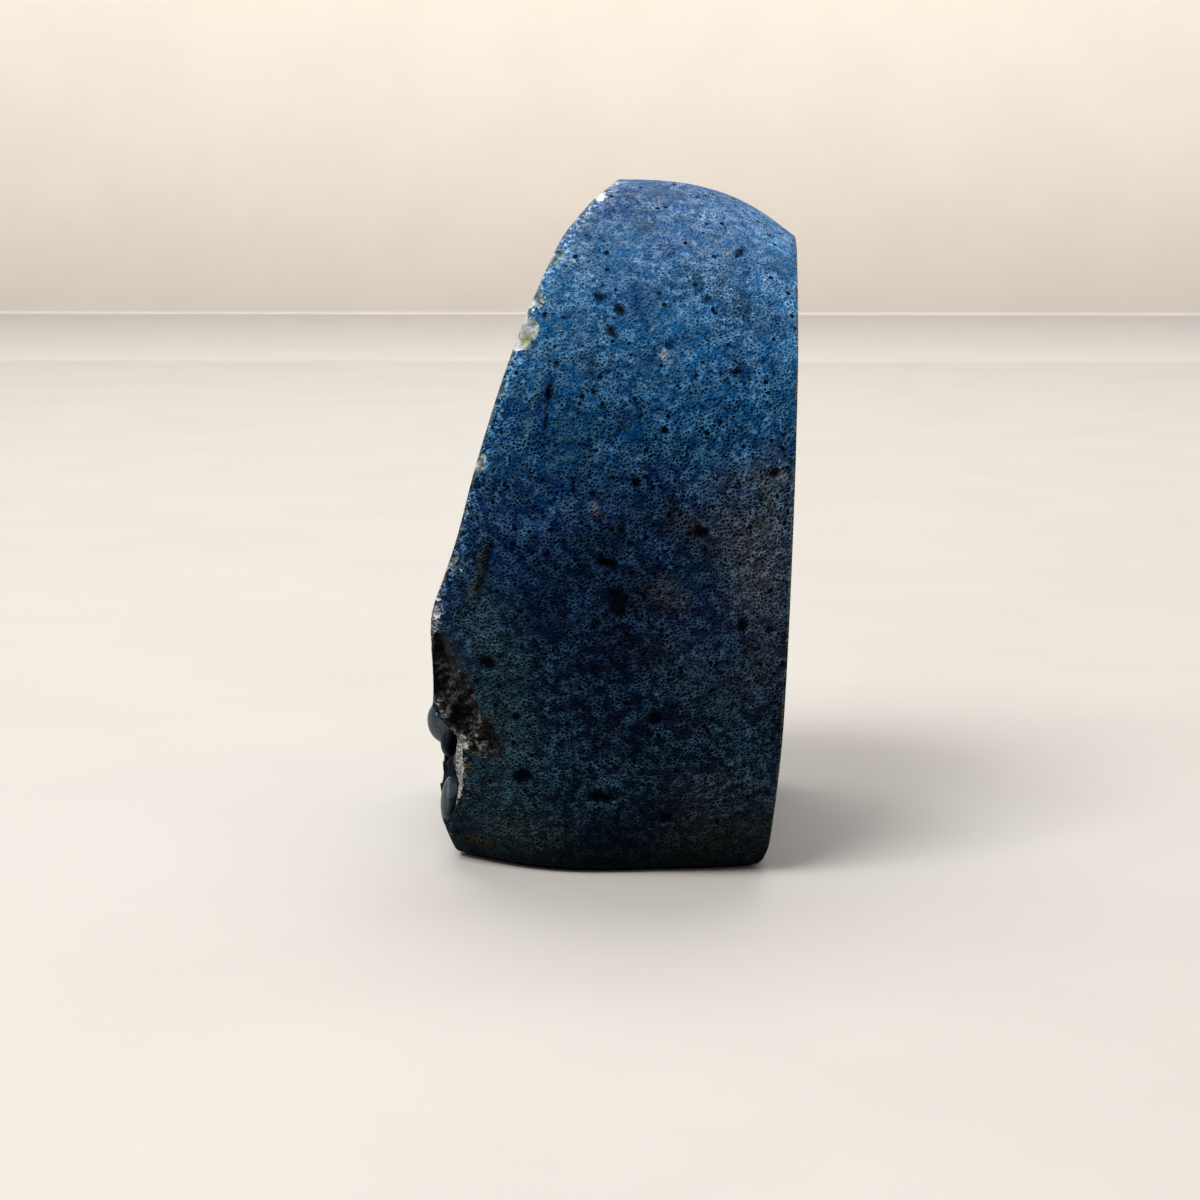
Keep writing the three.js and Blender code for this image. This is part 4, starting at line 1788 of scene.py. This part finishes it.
class Tree:
    """Makes the nodes of one material."""

    def __init__(self, material: bpy.types.Material) -> None:
        """Empties the material's node tree.

        Args:
            material: Material that is filled.
        """
        material.use_nodes = True
        self.nodes = material.node_tree.nodes
        self.links = material.node_tree.links
        self.nodes.clear()

    def node(
        self,
        kind: str,
        settings: dict[str, object] | None = None,
        inputs: dict[str | int, object] | None = None,
        output: str | int = 0,
    ) -> Sock:
        """Makes a node.

        Args:
            kind: Type of the node.
            settings: Its properties, set before its sockets. stops gives a ramp's stops.
            inputs: Values or links of its sockets.
            output: Output that is handed back.

        Returns:
            The node's output.
        """
        made = self.nodes.new(kind)
        for name, value in (settings or {}).items():
            if name == "stops":
                self.set_stops(made.color_ramp, value)
            else:
                setattr(made, name, value)
        for name, value in (inputs or {}).items():
            socket = made.inputs[name]
            if isinstance(value, Sock):
                self.links.new(value.socket, socket)
            elif isinstance(value, tuple) and socket.type == "RGBA":
                socket.default_value = (*value, 1.0)
            else:
                socket.default_value = value
        return Sock(self, made.outputs[output] if made.outputs else None)

    @staticmethod
    def set_stops(ramp: bpy.types.ColorRamp, stops: Stops) -> None:
        """Sets the stops of a colour ramp.

        Args:
            ramp: The ramp.
            stops: Position and colour of each stop.
        """
        while len(ramp.elements) < len(stops):
            ramp.elements.new(1.0)
        for element, (position, colour) in zip(ramp.elements, stops):
            element.position = position
            element.color = (*colour, 1.0)

    def maths(self, operation: str, one: Sock | float, two: Sock | float = 0.0) -> Sock:
        """Works on two numbers."""
        return self.node("ShaderNodeMath", {"operation": operation}, {0: one, 1: two})

    def mix(self, share: Sock | float, one: Sock | Colour, two: Sock | Colour) -> Sock:
        """Goes from colour one to colour two."""
        inputs = {0: share, 6: one, 7: two}
        return self.node("ShaderNodeMix", {"data_type": "RGBA"}, inputs, 2)

    def shade(self, colour: Sock, share: Sock | float) -> Sock:
        """Multiplies a colour by a number."""
        inputs = {0: colour, "Scale": share}
        return self.node("ShaderNodeVectorMath", {"operation": "SCALE"}, inputs)

    def place(self) -> Sock:
        """Gives the place on the object, in metres."""
        return self.node("ShaderNodeTexCoord", None, None, "Object")

    def value(self, name: str) -> Sock:
        """Gives a stored number."""
        return self.node("ShaderNodeAttribute", {"attribute_name": name}, None, "Fac")

    def colour(self, name: str) -> Sock:
        """Gives a stored colour."""
        return self.node("ShaderNodeAttribute", {"attribute_name": name}, None, "Color")

    def bent(self, size_mm: float, amount_mm: float) -> Sock:
        """Gives the place pushed about by noise, so that what lies on it is uneven.

        Args:
            size_mm: Size of the noise's lumps.
            amount_mm: How far it pushes.

        Returns:
            The pushed place, in metres.
        """
        inputs = {"Vector": self.place(), "Scale": 1.0 / (size_mm * MM), "Detail": 1.0}
        push = self.node("ShaderNodeTexNoise", None, inputs, "Color")
        amount = (amount_mm * MM,) * 3
        inputs = {0: push, 1: amount, 2: self.place()}
        return self.node("ShaderNodeVectorMath", {"operation": "MULTIPLY_ADD"}, inputs)

    def noise(self, size_mm: float, detail: float = 2.0, warp: float = 0.0) -> Sock:
        """Gives noise.

        Args:
            size_mm: Size of its lumps.
            detail: How many finer layers it has.
            warp: How much its lumps are pulled about.

        Returns:
            Shares from about 0 to 1.
        """
        inputs = {
            "Vector": self.place(),
            "Scale": 1.0 / (size_mm * MM),
            "Detail": detail,
            "Distortion": warp,
        }
        return self.node("ShaderNodeTexNoise", None, inputs, "Fac")

    def cells(self, size_mm: float, feature: str = "F1", place: Sock | None = None) -> Sock:
        """Gives the distance to scattered points or their borders, a cell's size apart."""
        inputs = {"Vector": place or self.place(), "Scale": 1.0 / (size_mm * MM)}
        return self.node("ShaderNodeTexVoronoi", {"feature": feature}, inputs, "Distance")

    def bump(self, height: Sock, millimetres: float, strength: float = 1.0) -> Sock:
        """Turns a height from 0 to 1 into a normal."""
        inputs = {"Height": height, "Distance": millimetres * MM, "Strength": strength}
        return self.node("ShaderNodeBump", None, inputs)

    def bands(self, share: Sock, stops: Stops, lines: float) -> tuple[Sock, Sock]:
        """Gives the bands of agate and the fine lines between them.

        Args:
            share: Share of the way through the bands.
            stops: Position and colour of each band.
            lines: How closely the fine lines follow each other.

        Returns:
            The colour of the bands, and the lines as shares from 0 to 1.
        """
        colour = self.node("ShaderNodeValToRGB", {"stops": stops}, {"Fac": share}, "Color")
        return colour, self.maths("SINE", share * lines) * 0.5 + 0.5

    def surface(
        self,
        colour: Sock,
        roughness: float,
        normal: Sock,
        sheen: float = 0.5,
        more: dict[str, float] | None = None,
    ) -> Sock:
        """Makes a surface shader.

        Args:
            colour: The surface's colour.
            roughness: How matt it is.
            normal: Its normal.
            sheen: How much of the light it mirrors, 0.5 for a plain surface.
            more: Values of other sockets of the shader.

        Returns:
            The shader's output.
        """
        inputs = {"Base Color": colour, "Roughness": roughness, "Normal": normal}
        inputs |= {"Specular IOR Level": sheen} | (more or {})
        return self.node("ShaderNodeBsdfPrincipled", None, inputs)

    def finish(self, surface: Sock) -> None:
        """Makes the output."""
        self.node("ShaderNodeOutputMaterial", None, {"Surface": surface})


@dataclass(frozen=True)
class RindFinish:
    """Dyed rind, matt and porous, with painted shade in its pores and pits and painted highlight.

    Attributes:
        roughness: How matt it is.
        sheen: How much of the light it mirrors.
        pore: Size of its finest pores.
        middle_pore: Distance between its middling pores.
        large_pore: Distance between its largest pores.
        fleck: Colour of its mineral flecks.
        rust: Colour of the rust along the sawn edges.
        worn: Colour of its worn places.
        relief: Height of its pores in millimetres.
    """

    roughness: float = 0.7
    sheen: float = 0.04
    pore: float = 0.57
    middle_pore: float = 1.6
    large_pore: float = 3.2
    fleck: Colour = (0.42, 0.42, 0.36)
    rust: Colour = (0.26, 0.24, 0.13)
    worn: Colour = (0.62, 0.66, 0.62)
    relief: float = 0.65

    def dress(self, material: bpy.types.Material) -> None:
        """Builds the finish's nodes.

        Args:
            material: Material that is filled.
        """
        tree = Tree(material)
        bent = tree.bent(0.9, 0.35)
        patch = tree.noise(3.2, 3.0)
        rough = patch.step(0.36, 0.60)
        fine = tree.noise(0.5, 3.0).step(0.34, 0.68)
        openness = tree.value("open")
        small = 1.0 - tree.cells(self.pore, place=bent).step(0.16, 0.50)
        small = small * (0.45 + rough * 0.55) * openness
        middle = 1.0 - tree.cells(self.middle_pore, place=bent).step(0.15, 0.23)
        middle = middle * rough * openness
        large = 1.0 - tree.cells(self.large_pore, place=bent).step(0.115, 0.15)
        pores = tree.maths("MAXIMUM", tree.maths("MAXIMUM", small, middle), large)
        net = 1.0 - tree.cells(self.pore, "DISTANCE_TO_EDGE", bent).step(0.03, 0.19)
        # Painted shade: the pores and the deepest pits are darkened.
        pit_shade = tree.value("rind_depth").step(0.85, 1.5)
        light = (0.45 + fine) * (1.0 - pores * 0.93) * (1.0 - pit_shade * 0.8)
        colour = tree.shade(tree.colour("stain"), light)
        cover = 0.12 + tree.noise(1.7, 3.0).step(0.40, 0.60) * 0.95
        # Painted highlight: pale colour on the net between the pores, kept out of pores and pits.
        high = (net * 0.75 + fine * 0.35) * (1.0 - pores) * (1.0 - pit_shade) * cover
        colour = tree.mix(high, colour, tree.colour("dust"))
        flecks = (1.0 - tree.cells(5.0).step(0.02, 0.05)) * patch.step(0.45, 0.6)
        colour = tree.mix(flecks * 0.8, colour, self.fleck)
        specks = tree.noise(0.75, 2.0).step(0.50, 0.62)
        front = tree.value("front_distance")
        wear = (1.0 - front.step(0.3, 3.2)) * tree.noise(5.0, 2.0).step(0.32, 0.50)
        colour = tree.mix(wear * specks * 0.9, colour, tree.shade(tree.colour("dust"), 3.4))
        edge = tree.maths("MINIMUM", front, tree.value("rear_distance"))
        rim = (1.0 - edge.step(0.2, 0.7)) * tree.noise(1.6, 2.0).step(0.42, 0.56)
        colour = tree.mix(rim * 0.75, colour, self.rust)
        colour = tree.mix(tree.value("pale") * specks * 0.9, colour, self.worn)
        height = fine * 0.3 + net * 0.25 + (1.0 - pores) * 0.6
        normal = tree.bump(height, self.relief)
        tree.finish(tree.surface(colour, self.roughness, normal, self.sheen))


@dataclass(frozen=True)
class PolishedFinish:
    """Polished agate, banded from the rind to the quartz round the hollow.

    Attributes:
        roughness: How matt it is.
        coat: Share of the polish's own shine.
        lines: How closely its fine lines follow each other.
        stops: Its bands, from the rind to the hollow.
    """

    roughness: float = 0.1
    coat: float = 0.3
    lines: float = 210.0
    stops: Stops = (
        (0.0, (0.02, 0.03, 0.04)),
        (0.025, (0.10, 0.13, 0.12)),
        (0.05, (0.010, 0.045, 0.16)),
        (0.16, (0.012, 0.07, 0.30)),
        (0.24, (0.03, 0.16, 0.46)),
        (0.27, (0.55, 0.68, 0.80)),
        (0.30, (0.02, 0.12, 0.42)),
        (0.42, (0.008, 0.05, 0.26)),
        (0.50, (0.05, 0.24, 0.58)),
        (0.53, (0.62, 0.74, 0.84)),
        (0.57, (0.04, 0.20, 0.55)),
        (0.68, (0.10, 0.32, 0.62)),
        (0.76, (0.50, 0.66, 0.80)),
        (0.86, (0.30, 0.50, 0.70)),
        (1.0, (0.60, 0.72, 0.82)),
    )

    def dress(self, material: bpy.types.Material) -> None:
        """Builds the finish's nodes.

        Args:
            material: Material that is filled.
        """
        tree = Tree(material)
        rind = tree.maths("MAXIMUM", tree.value("rind_depth"), 0.0)
        hollow = tree.maths("MAXIMUM", tree.value("hollow_distance"), 0.0)
        share = rind / (rind + hollow + 0.01)
        share = share + (tree.noise(14.0, 2.0) - 0.5) * 0.10
        share = share + (tree.noise(2.5, 1.0) - 0.5) * 0.012
        ramp, fine = tree.bands(share, self.stops, self.lines)
        colour = tree.shade(ramp, 0.72 + fine * 0.4)
        normal = tree.bump(tree.noise(9.0, 2.0), 0.25, 0.25)
        tree.finish(tree.surface(colour, self.roughness, normal, more={"Coat Weight": self.coat}))


@dataclass(frozen=True)
class SawnFinish:
    """Plain saw cut, matt, with the blade's curved marks.

    Attributes:
        roughness: How matt it is.
        middle_depth: Depth under the rind where the last band lies, in millimetres.
        lines: How closely its fine lines follow each other.
        stops: Its bands, from the rind inwards.
    """

    roughness: float = 0.42
    middle_depth: float = 34.0
    lines: float = 170.0
    stops: Stops = (
        (0.0, (0.16, 0.14, 0.09)),
        (0.03, (0.05, 0.08, 0.12)),
        (0.06, (0.014, 0.07, 0.22)),
        (0.24, (0.02, 0.11, 0.36)),
        (0.29, (0.03, 0.15, 0.42)),
        (0.31, (0.42, 0.56, 0.68)),
        (0.335, (0.34, 0.50, 0.64)),
        (0.36, (0.03, 0.14, 0.40)),
        (0.52, (0.014, 0.07, 0.28)),
        (0.56, (0.24, 0.42, 0.60)),
        (0.585, (0.30, 0.46, 0.62)),
        (0.61, (0.03, 0.15, 0.42)),
        (0.80, (0.06, 0.22, 0.50)),
        (1.0, (0.20, 0.38, 0.58)),
    )

    def dress(self, material: bpy.types.Material) -> None:
        """Builds the finish's nodes.

        Args:
            material: Material that is filled.
        """
        tree = Tree(material)
        depth = tree.maths("MAXIMUM", tree.value("rind_depth"), 0.0)
        share = depth / self.middle_depth + (tree.noise(14.0, 2.0) - 0.5) * 0.10
        ramp, fine = tree.bands(share, self.stops, self.lines)
        settings = {"wave_type": "RINGS", "rings_direction": "X"}
        inputs = {"Vector": tree.place(), "Scale": 60.0, "Distortion": 0.6}
        marks = tree.node("ShaderNodeTexWave", settings, inputs, "Fac")
        colour = tree.shade(ramp, (0.7 + fine * 0.35) * (0.75 + tree.noise(0.8, 3.0) * 0.5))
        height = marks * 0.6 + tree.noise(0.5, 2.0) * 0.4
        tree.finish(tree.surface(colour, self.roughness, tree.bump(height, 0.12)))


@dataclass(frozen=True)
class ChippedFinish:
    """Small chips on a rim, pale where they are fresh.

    Attributes:
        roughness: How matt they are.
        sheen: How much of the light they mirror.
    """

    roughness: float = 0.6
    sheen: float = 0.2

    def dress(self, material: bpy.types.Material) -> None:
        """Builds the finish's nodes.

        Args:
            material: Material that is filled.
        """
        tree = Tree(material)
        grain = tree.noise(0.7, 3.0)
        patch = tree.noise(2.4, 3.0)
        blue = tree.mix(patch.step(0.40, 0.58), (0.09, 0.19, 0.25), (0.60, 0.68, 0.68))
        yellow = tree.noise(3.1, 2.0, 0.5).step(0.52, 0.62)
        blue = tree.mix(yellow * 0.7, blue, (0.50, 0.48, 0.24))
        blue = tree.shade(blue, 0.4 + grain * 1.2)
        white = tree.mix(grain.step(0.30, 0.52), (0.74, 0.79, 0.82), (0.97, 0.97, 0.97))
        pale = tree.value("pale").step(0.08, 0.30) * (0.6 + patch.step(0.25, 0.42) * 0.4)
        colour = tree.mix(pale, blue, white)
        normal = tree.bump(grain * 0.5 + tree.noise(1.6, 2.0) * 0.5, 0.7)
        tree.finish(tree.surface(colour, self.roughness, normal, self.sheen))


@dataclass(frozen=True)
class BrokenFinish:
    """The rough inside of the broken places, dark partly as painted shade, with a pale edge band.

    Attributes:
        roughness: How matt it is.
        sheen: How much of the light it mirrors.
    """

    roughness: float = 0.7
    sheen: float = 0.15

    def dress(self, material: bpy.types.Material) -> None:
        """Builds the finish's nodes.

        Args:
            material: Material that is filled.
        """
        tree = Tree(material)
        grain = tree.noise(0.55, 4.0)
        patch = tree.noise(2.2, 3.0)
        light = (0.08 + grain.step(0.38, 0.68) * 1.7) * (0.25 + patch.step(0.42, 0.58) * 1.2)
        dark = tree.shade(tree.colour("paint"), light)
        white = tree.mix(grain.step(0.36, 0.58), (0.30, 0.34, 0.36), (0.93, 0.93, 0.91))
        colour = tree.mix(tree.value("pale").step(0.30, 0.60), dark, white)
        normal = tree.bump(grain, 0.6)
        tree.finish(tree.surface(colour, self.roughness, normal, self.sheen))


@dataclass(frozen=True)
class HollowFinish:
    """Wall of the hollow behind the crystals, painted near-black as shade at its lower end.

    Attributes:
        roughness: How matt it is.
        sheen: How much of the light it mirrors.
    """

    roughness: float = 0.6
    sheen: float = 0.12

    def dress(self, material: bpy.types.Material) -> None:
        """Builds the finish's nodes.

        Args:
            material: Material that is filled.
        """
        tree = Tree(material)
        patch = tree.noise(6.0, 2.0).step(0.4, 0.6)
        colour = tree.mix(patch, (0.03, 0.12, 0.34), (0.16, 0.34, 0.56))
        # Painted shade: near-black towards the lower end of the hollow.
        colour = tree.mix(tree.value("dye"), colour, (0.004, 0.009, 0.022))
        normal = tree.bump(tree.noise(1.2, 2.0), 0.3, 0.7)
        tree.finish(tree.surface(colour, self.roughness, normal, self.sheen))


@dataclass(frozen=True)
class KnobFinish:
    """Smooth slate-blue agate that was never polished.

    Attributes:
        roughness: How matt it is.
    """

    roughness: float = 0.45

    def dress(self, material: bpy.types.Material) -> None:
        """Builds the finish's nodes.

        Args:
            material: Material that is filled.
        """
        tree = Tree(material)
        bands = tree.noise(2.6, 3.0, 1.2).step(0.36, 0.62)
        colour = tree.mix(bands, (0.012, 0.034, 0.060), (0.055, 0.088, 0.110))
        colour = tree.shade(colour, 0.5 + tree.noise(0.8, 3.0))
        normal = tree.bump(tree.noise(1.1, 3.0), 0.2, 0.6)
        tree.finish(tree.surface(colour, self.roughness, normal))


@dataclass(frozen=True)
class QuartzFinish:
    """Clear quartz faintly dyed blue, painted dark and dull as shade at the hollow's lower end.

    Attributes:
        roughness: How matt the clear quartz is.
        clearness: Share of the light that it lets through.
        bending: How strongly it bends light.
        painted_shade_roughness: How matt the quartz painted dark as shade is.
        painted_shade_sheen: How much of the light that darker quartz mirrors.
    """

    roughness: float = 0.06
    clearness: float = 0.82
    bending: float = 1.544
    painted_shade_roughness: float = 0.6
    painted_shade_sheen: float = 0.1

    def dress(self, material: bpy.types.Material) -> None:
        """Builds the finish's nodes.

        Args:
            material: Material that is filled.
        """
        tree = Tree(material)
        patch = tree.noise(11.0, 2.0).step(0.38, 0.62)
        colour = tree.mix(patch, (0.80, 0.90, 0.97), (0.42, 0.64, 0.88))
        normal = tree.bump(tree.noise(0.8, 2.0), 0.05, 0.4)
        glass = {"IOR": self.bending, "Transmission Weight": self.clearness}
        clear = tree.surface(colour, self.roughness, normal, more=glass)
        # Painted shade: dark, duller quartz towards the lower end of the hollow.
        patch = tree.noise(1.4, 3.0).step(0.4, 0.7)
        colour = tree.mix(patch, (0.002, 0.005, 0.012), (0.012, 0.026, 0.050))
        normal = tree.bump(tree.noise(0.7, 3.0), 0.3, 0.8)
        painted_shade = tree.surface(colour, self.painted_shade_roughness, normal, self.painted_shade_sheen)
        both = {0: tree.value("dye"), 1: clear, 2: painted_shade}
        tree.finish(tree.node("ShaderNodeMixShader", None, both))


@dataclass(frozen=True)
class GroundFinish:
    """Plain pale floor and wall.

    Attributes:
        colour: Its colour.
        roughness: How matt it is.
    """

    colour: Colour = (0.82, 0.785, 0.735)
    roughness: float = 0.75

    def dress(self, material: bpy.types.Material) -> None:
        """Builds the finish's nodes.

        Args:
            material: Material that is filled.
        """
        tree = Tree(material)
        darker = tuple(0.975 * part for part in self.colour)
        colour = tree.mix(tree.noise(60.0, 3.0).step(0.35, 0.65), self.colour, darker)
        normal = tree.bump(tree.noise(1.6, 3.0), 0.06, 0.5)
        tree.finish(tree.surface(colour, self.roughness, normal))


@dataclass(frozen=True)
class Softbox:
    """One square lamp.

    Attributes:
        name: Its name.
        place: Where it stands.
        target: Where it points.
        size: Width and height of its face.
        power: Its power in watts.
        colour: Its colour.
    """

    name: str
    place: tuple[float, float, float]
    target: tuple[float, float, float]
    size: tuple[float, float]
    power: float
    colour: Colour = (1.0, 1.0, 1.0)

    def build(self) -> None:
        """Makes the lamp."""
        light = bpy.data.lights.new(self.name, "AREA")
        light.shape = "RECTANGLE"
        light.size, light.size_y = self.size
        light.energy = self.power
        light.color = self.colour
        made = add_object(self.name, light)
        made.location = self.place
        facing = Vector(self.target) - Vector(self.place)
        made.rotation_euler = facing.to_track_quat("-Z", "Y").to_euler()
        made.visible_camera = False


@dataclass(frozen=True)
class Studio:
    """The floor, wall, lamps and camera.

    Attributes:
        turn: Turn of the camera about the object in degrees.
        tilt: How far the camera looks down in degrees.
        distance: Distance of the camera from what it looks at.
        lens: Focal length in millimetres.
        target: Where the camera looks.
        wall: Distance of the wall.
        bend: Radius of the bend between floor and wall.
        wall_colour: Colour of the wall.
        below_colour: Colour of the sheet under the floor.
        ambient: Strength of the light from all round.
        half_width: Half the width of the floor.
        lamps: The lamps.
    """

    turn: float = 1.5
    tilt: float = 9.0
    distance: float = 0.520
    lens: float = 83.7
    target: tuple[float, float, float] = (-0.001317, 0.000255, 0.0426)
    wall: float = 1.73
    bend: float = 0.003
    wall_colour: Colour = (0.90, 0.815, 0.715)
    below_colour: Colour = (0.01, 0.01, 0.01)
    ambient: float = 0.25
    half_width: float = 3.0
    lamps: tuple[Softbox, ...] = (
        Softbox(
            "key", (-0.50, -0.66, 1.12), (0.0, 0.03, 0.0), (0.65, 0.65), 12.3, (1.0, 0.99, 0.98),
        ),
        Softbox(
            "overhead", (-0.05, 0.45, 1.15), (0.0, 0.02, 0.0), (0.9, 0.6), 3.8, (1.0, 0.98, 0.95),
        ),
        Softbox(
            "backdrop", (0.0, 1.00, 1.3), (0.0, 1.45, 0.0), (1.9, 0.4), 10.5, (1.0, 0.99, 0.97),
        ),
        Softbox("foot", (0.0, 1.20, 0.002), (0.0, 1.50, 1.0), (2.6, 0.8), 26.0, (1.0, 0.99, 0.97)),
    )

    def build(self) -> None:
        """Makes everything that isn't part of the object."""
        self.build_ground()
        for lamp in self.lamps:
            lamp.build()
        self.build_world()
        self.build_camera()

    def build_ground(self) -> None:
        """Makes the floor and the wall as one sheet with a rounded bend."""
        line = [(-2.5, 0.0), (self.wall - self.bend, 0.0)]
        for angle in np.linspace(0.0, math.pi / 2.0, 13)[1:]:
            out = self.bend * (math.sin(angle) - 1.0)
            line.append((self.wall + out, self.bend * (1.0 - math.cos(angle))))
        line.append((self.wall, 2.5))
        sides = (-self.half_width, self.half_width)
        points = [(side, y, z) for y, z in line for side in sides]
        faces = [(2 * k, 2 * k + 1, 2 * k + 3, 2 * k + 2) for k in range(len(line) - 1)]
        mesh = bpy.data.meshes.new("ground")
        mesh.from_pydata(points, [], faces)
        mesh.polygons.foreach_set("use_smooth", np.ones(len(faces), dtype=bool))
        ground = add_object("ground", mesh)
        for name, finish in (("ground", GroundFinish()), ("wall", GroundFinish(self.wall_colour))):
            material = bpy.data.materials.new(name)
            finish.dress(material)
            mesh.materials.append(material)
        mesh.polygons.foreach_set("material_index", [int(k > 0) for k in range(len(faces))])
        ground.visible_diffuse = False
        self.build_underlay()

    def build_underlay(self) -> bpy.types.Object:
        """Makes a dark sheet just under the floor, so that no light comes from below.

        Returns:
            The sheet.
        """
        half, low = self.half_width, -0.002
        corners = [(-half, -half, low), (half, -half, low), (half, half, low), (-half, half, low)]
        mesh = bpy.data.meshes.new("underlay")
        mesh.from_pydata(corners, [], [(0, 1, 2, 3)])
        material = bpy.data.materials.new("underlay")
        GroundFinish(self.below_colour).dress(material)
        mesh.materials.append(material)
        return add_object("underlay", mesh)

    def build_world(self) -> None:
        """Makes the soft light from all round."""
        world = bpy.data.worlds.new("studio")
        bpy.context.scene.world = world
        world.use_nodes = True
        background = world.node_tree.nodes["Background"]
        background.inputs["Color"].default_value = (1.0, 0.96, 0.92, 1.0)
        background.inputs["Strength"].default_value = self.ambient

    def build_camera(self) -> None:
        """Makes the camera at the photograph's angle."""
        camera = bpy.data.cameras.new("camera")
        camera.lens = self.lens
        camera.sensor_width = 36.0
        camera.clip_start, camera.clip_end = 0.01, 20.0
        made = add_object("camera", camera)
        turn, tilt = math.radians(self.turn), math.radians(self.tilt)
        level = math.cos(tilt)
        back = Vector((math.sin(turn) * level, -math.cos(turn) * level, math.sin(tilt)))
        made.location = Vector(self.target) + back * self.distance
        made.rotation_euler = (-back).to_track_quat("-Z", "Y").to_euler()
        bpy.context.scene.camera = made


def main() -> None:
    """Builds the geode and the studio."""
    logging.basicConfig(level=logging.INFO, format="%(name)s: %(message)s")
    bpy.context.scene.view_settings.view_transform = "Standard"
    nodule = Nodule()
    cuts = SawCuts(nodule)
    hollow = Hollow()
    stone = AgateStone(nodule, cuts, hollow)
    body = stone.build()
    for zone, finish in {
        Zone.RIND: RindFinish(),
        Zone.POLISHED: PolishedFinish(),
        Zone.SAWN: SawnFinish(),
        Zone.CHIPPED: ChippedFinish(),
        Zone.BROKEN: BrokenFinish(),
        Zone.HOLLOW: HollowFinish(),
        Zone.KNOB: KnobFinish(),
    }.items():
        finish.dress(blank_material(zone))
    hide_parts("agate_stone")
    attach(body, "root")
    log.info("agate_body: %d faces", len(body.data.polygons))

    crust = CrystalCrust(hollow, cuts, stone.breaks()[2], stone.knobs).build()
    quartz = bpy.data.materials.new("quartz")
    QuartzFinish().dress(quartz)
    crust.data.materials.clear()
    crust.data.materials.append(quartz)
    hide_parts("crystal_crust")
    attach(crust, "root")
    log.info("crystals: %d faces", len(crust.data.polygons))

    Studio().build()


if __name__ == "__main__":
    main()
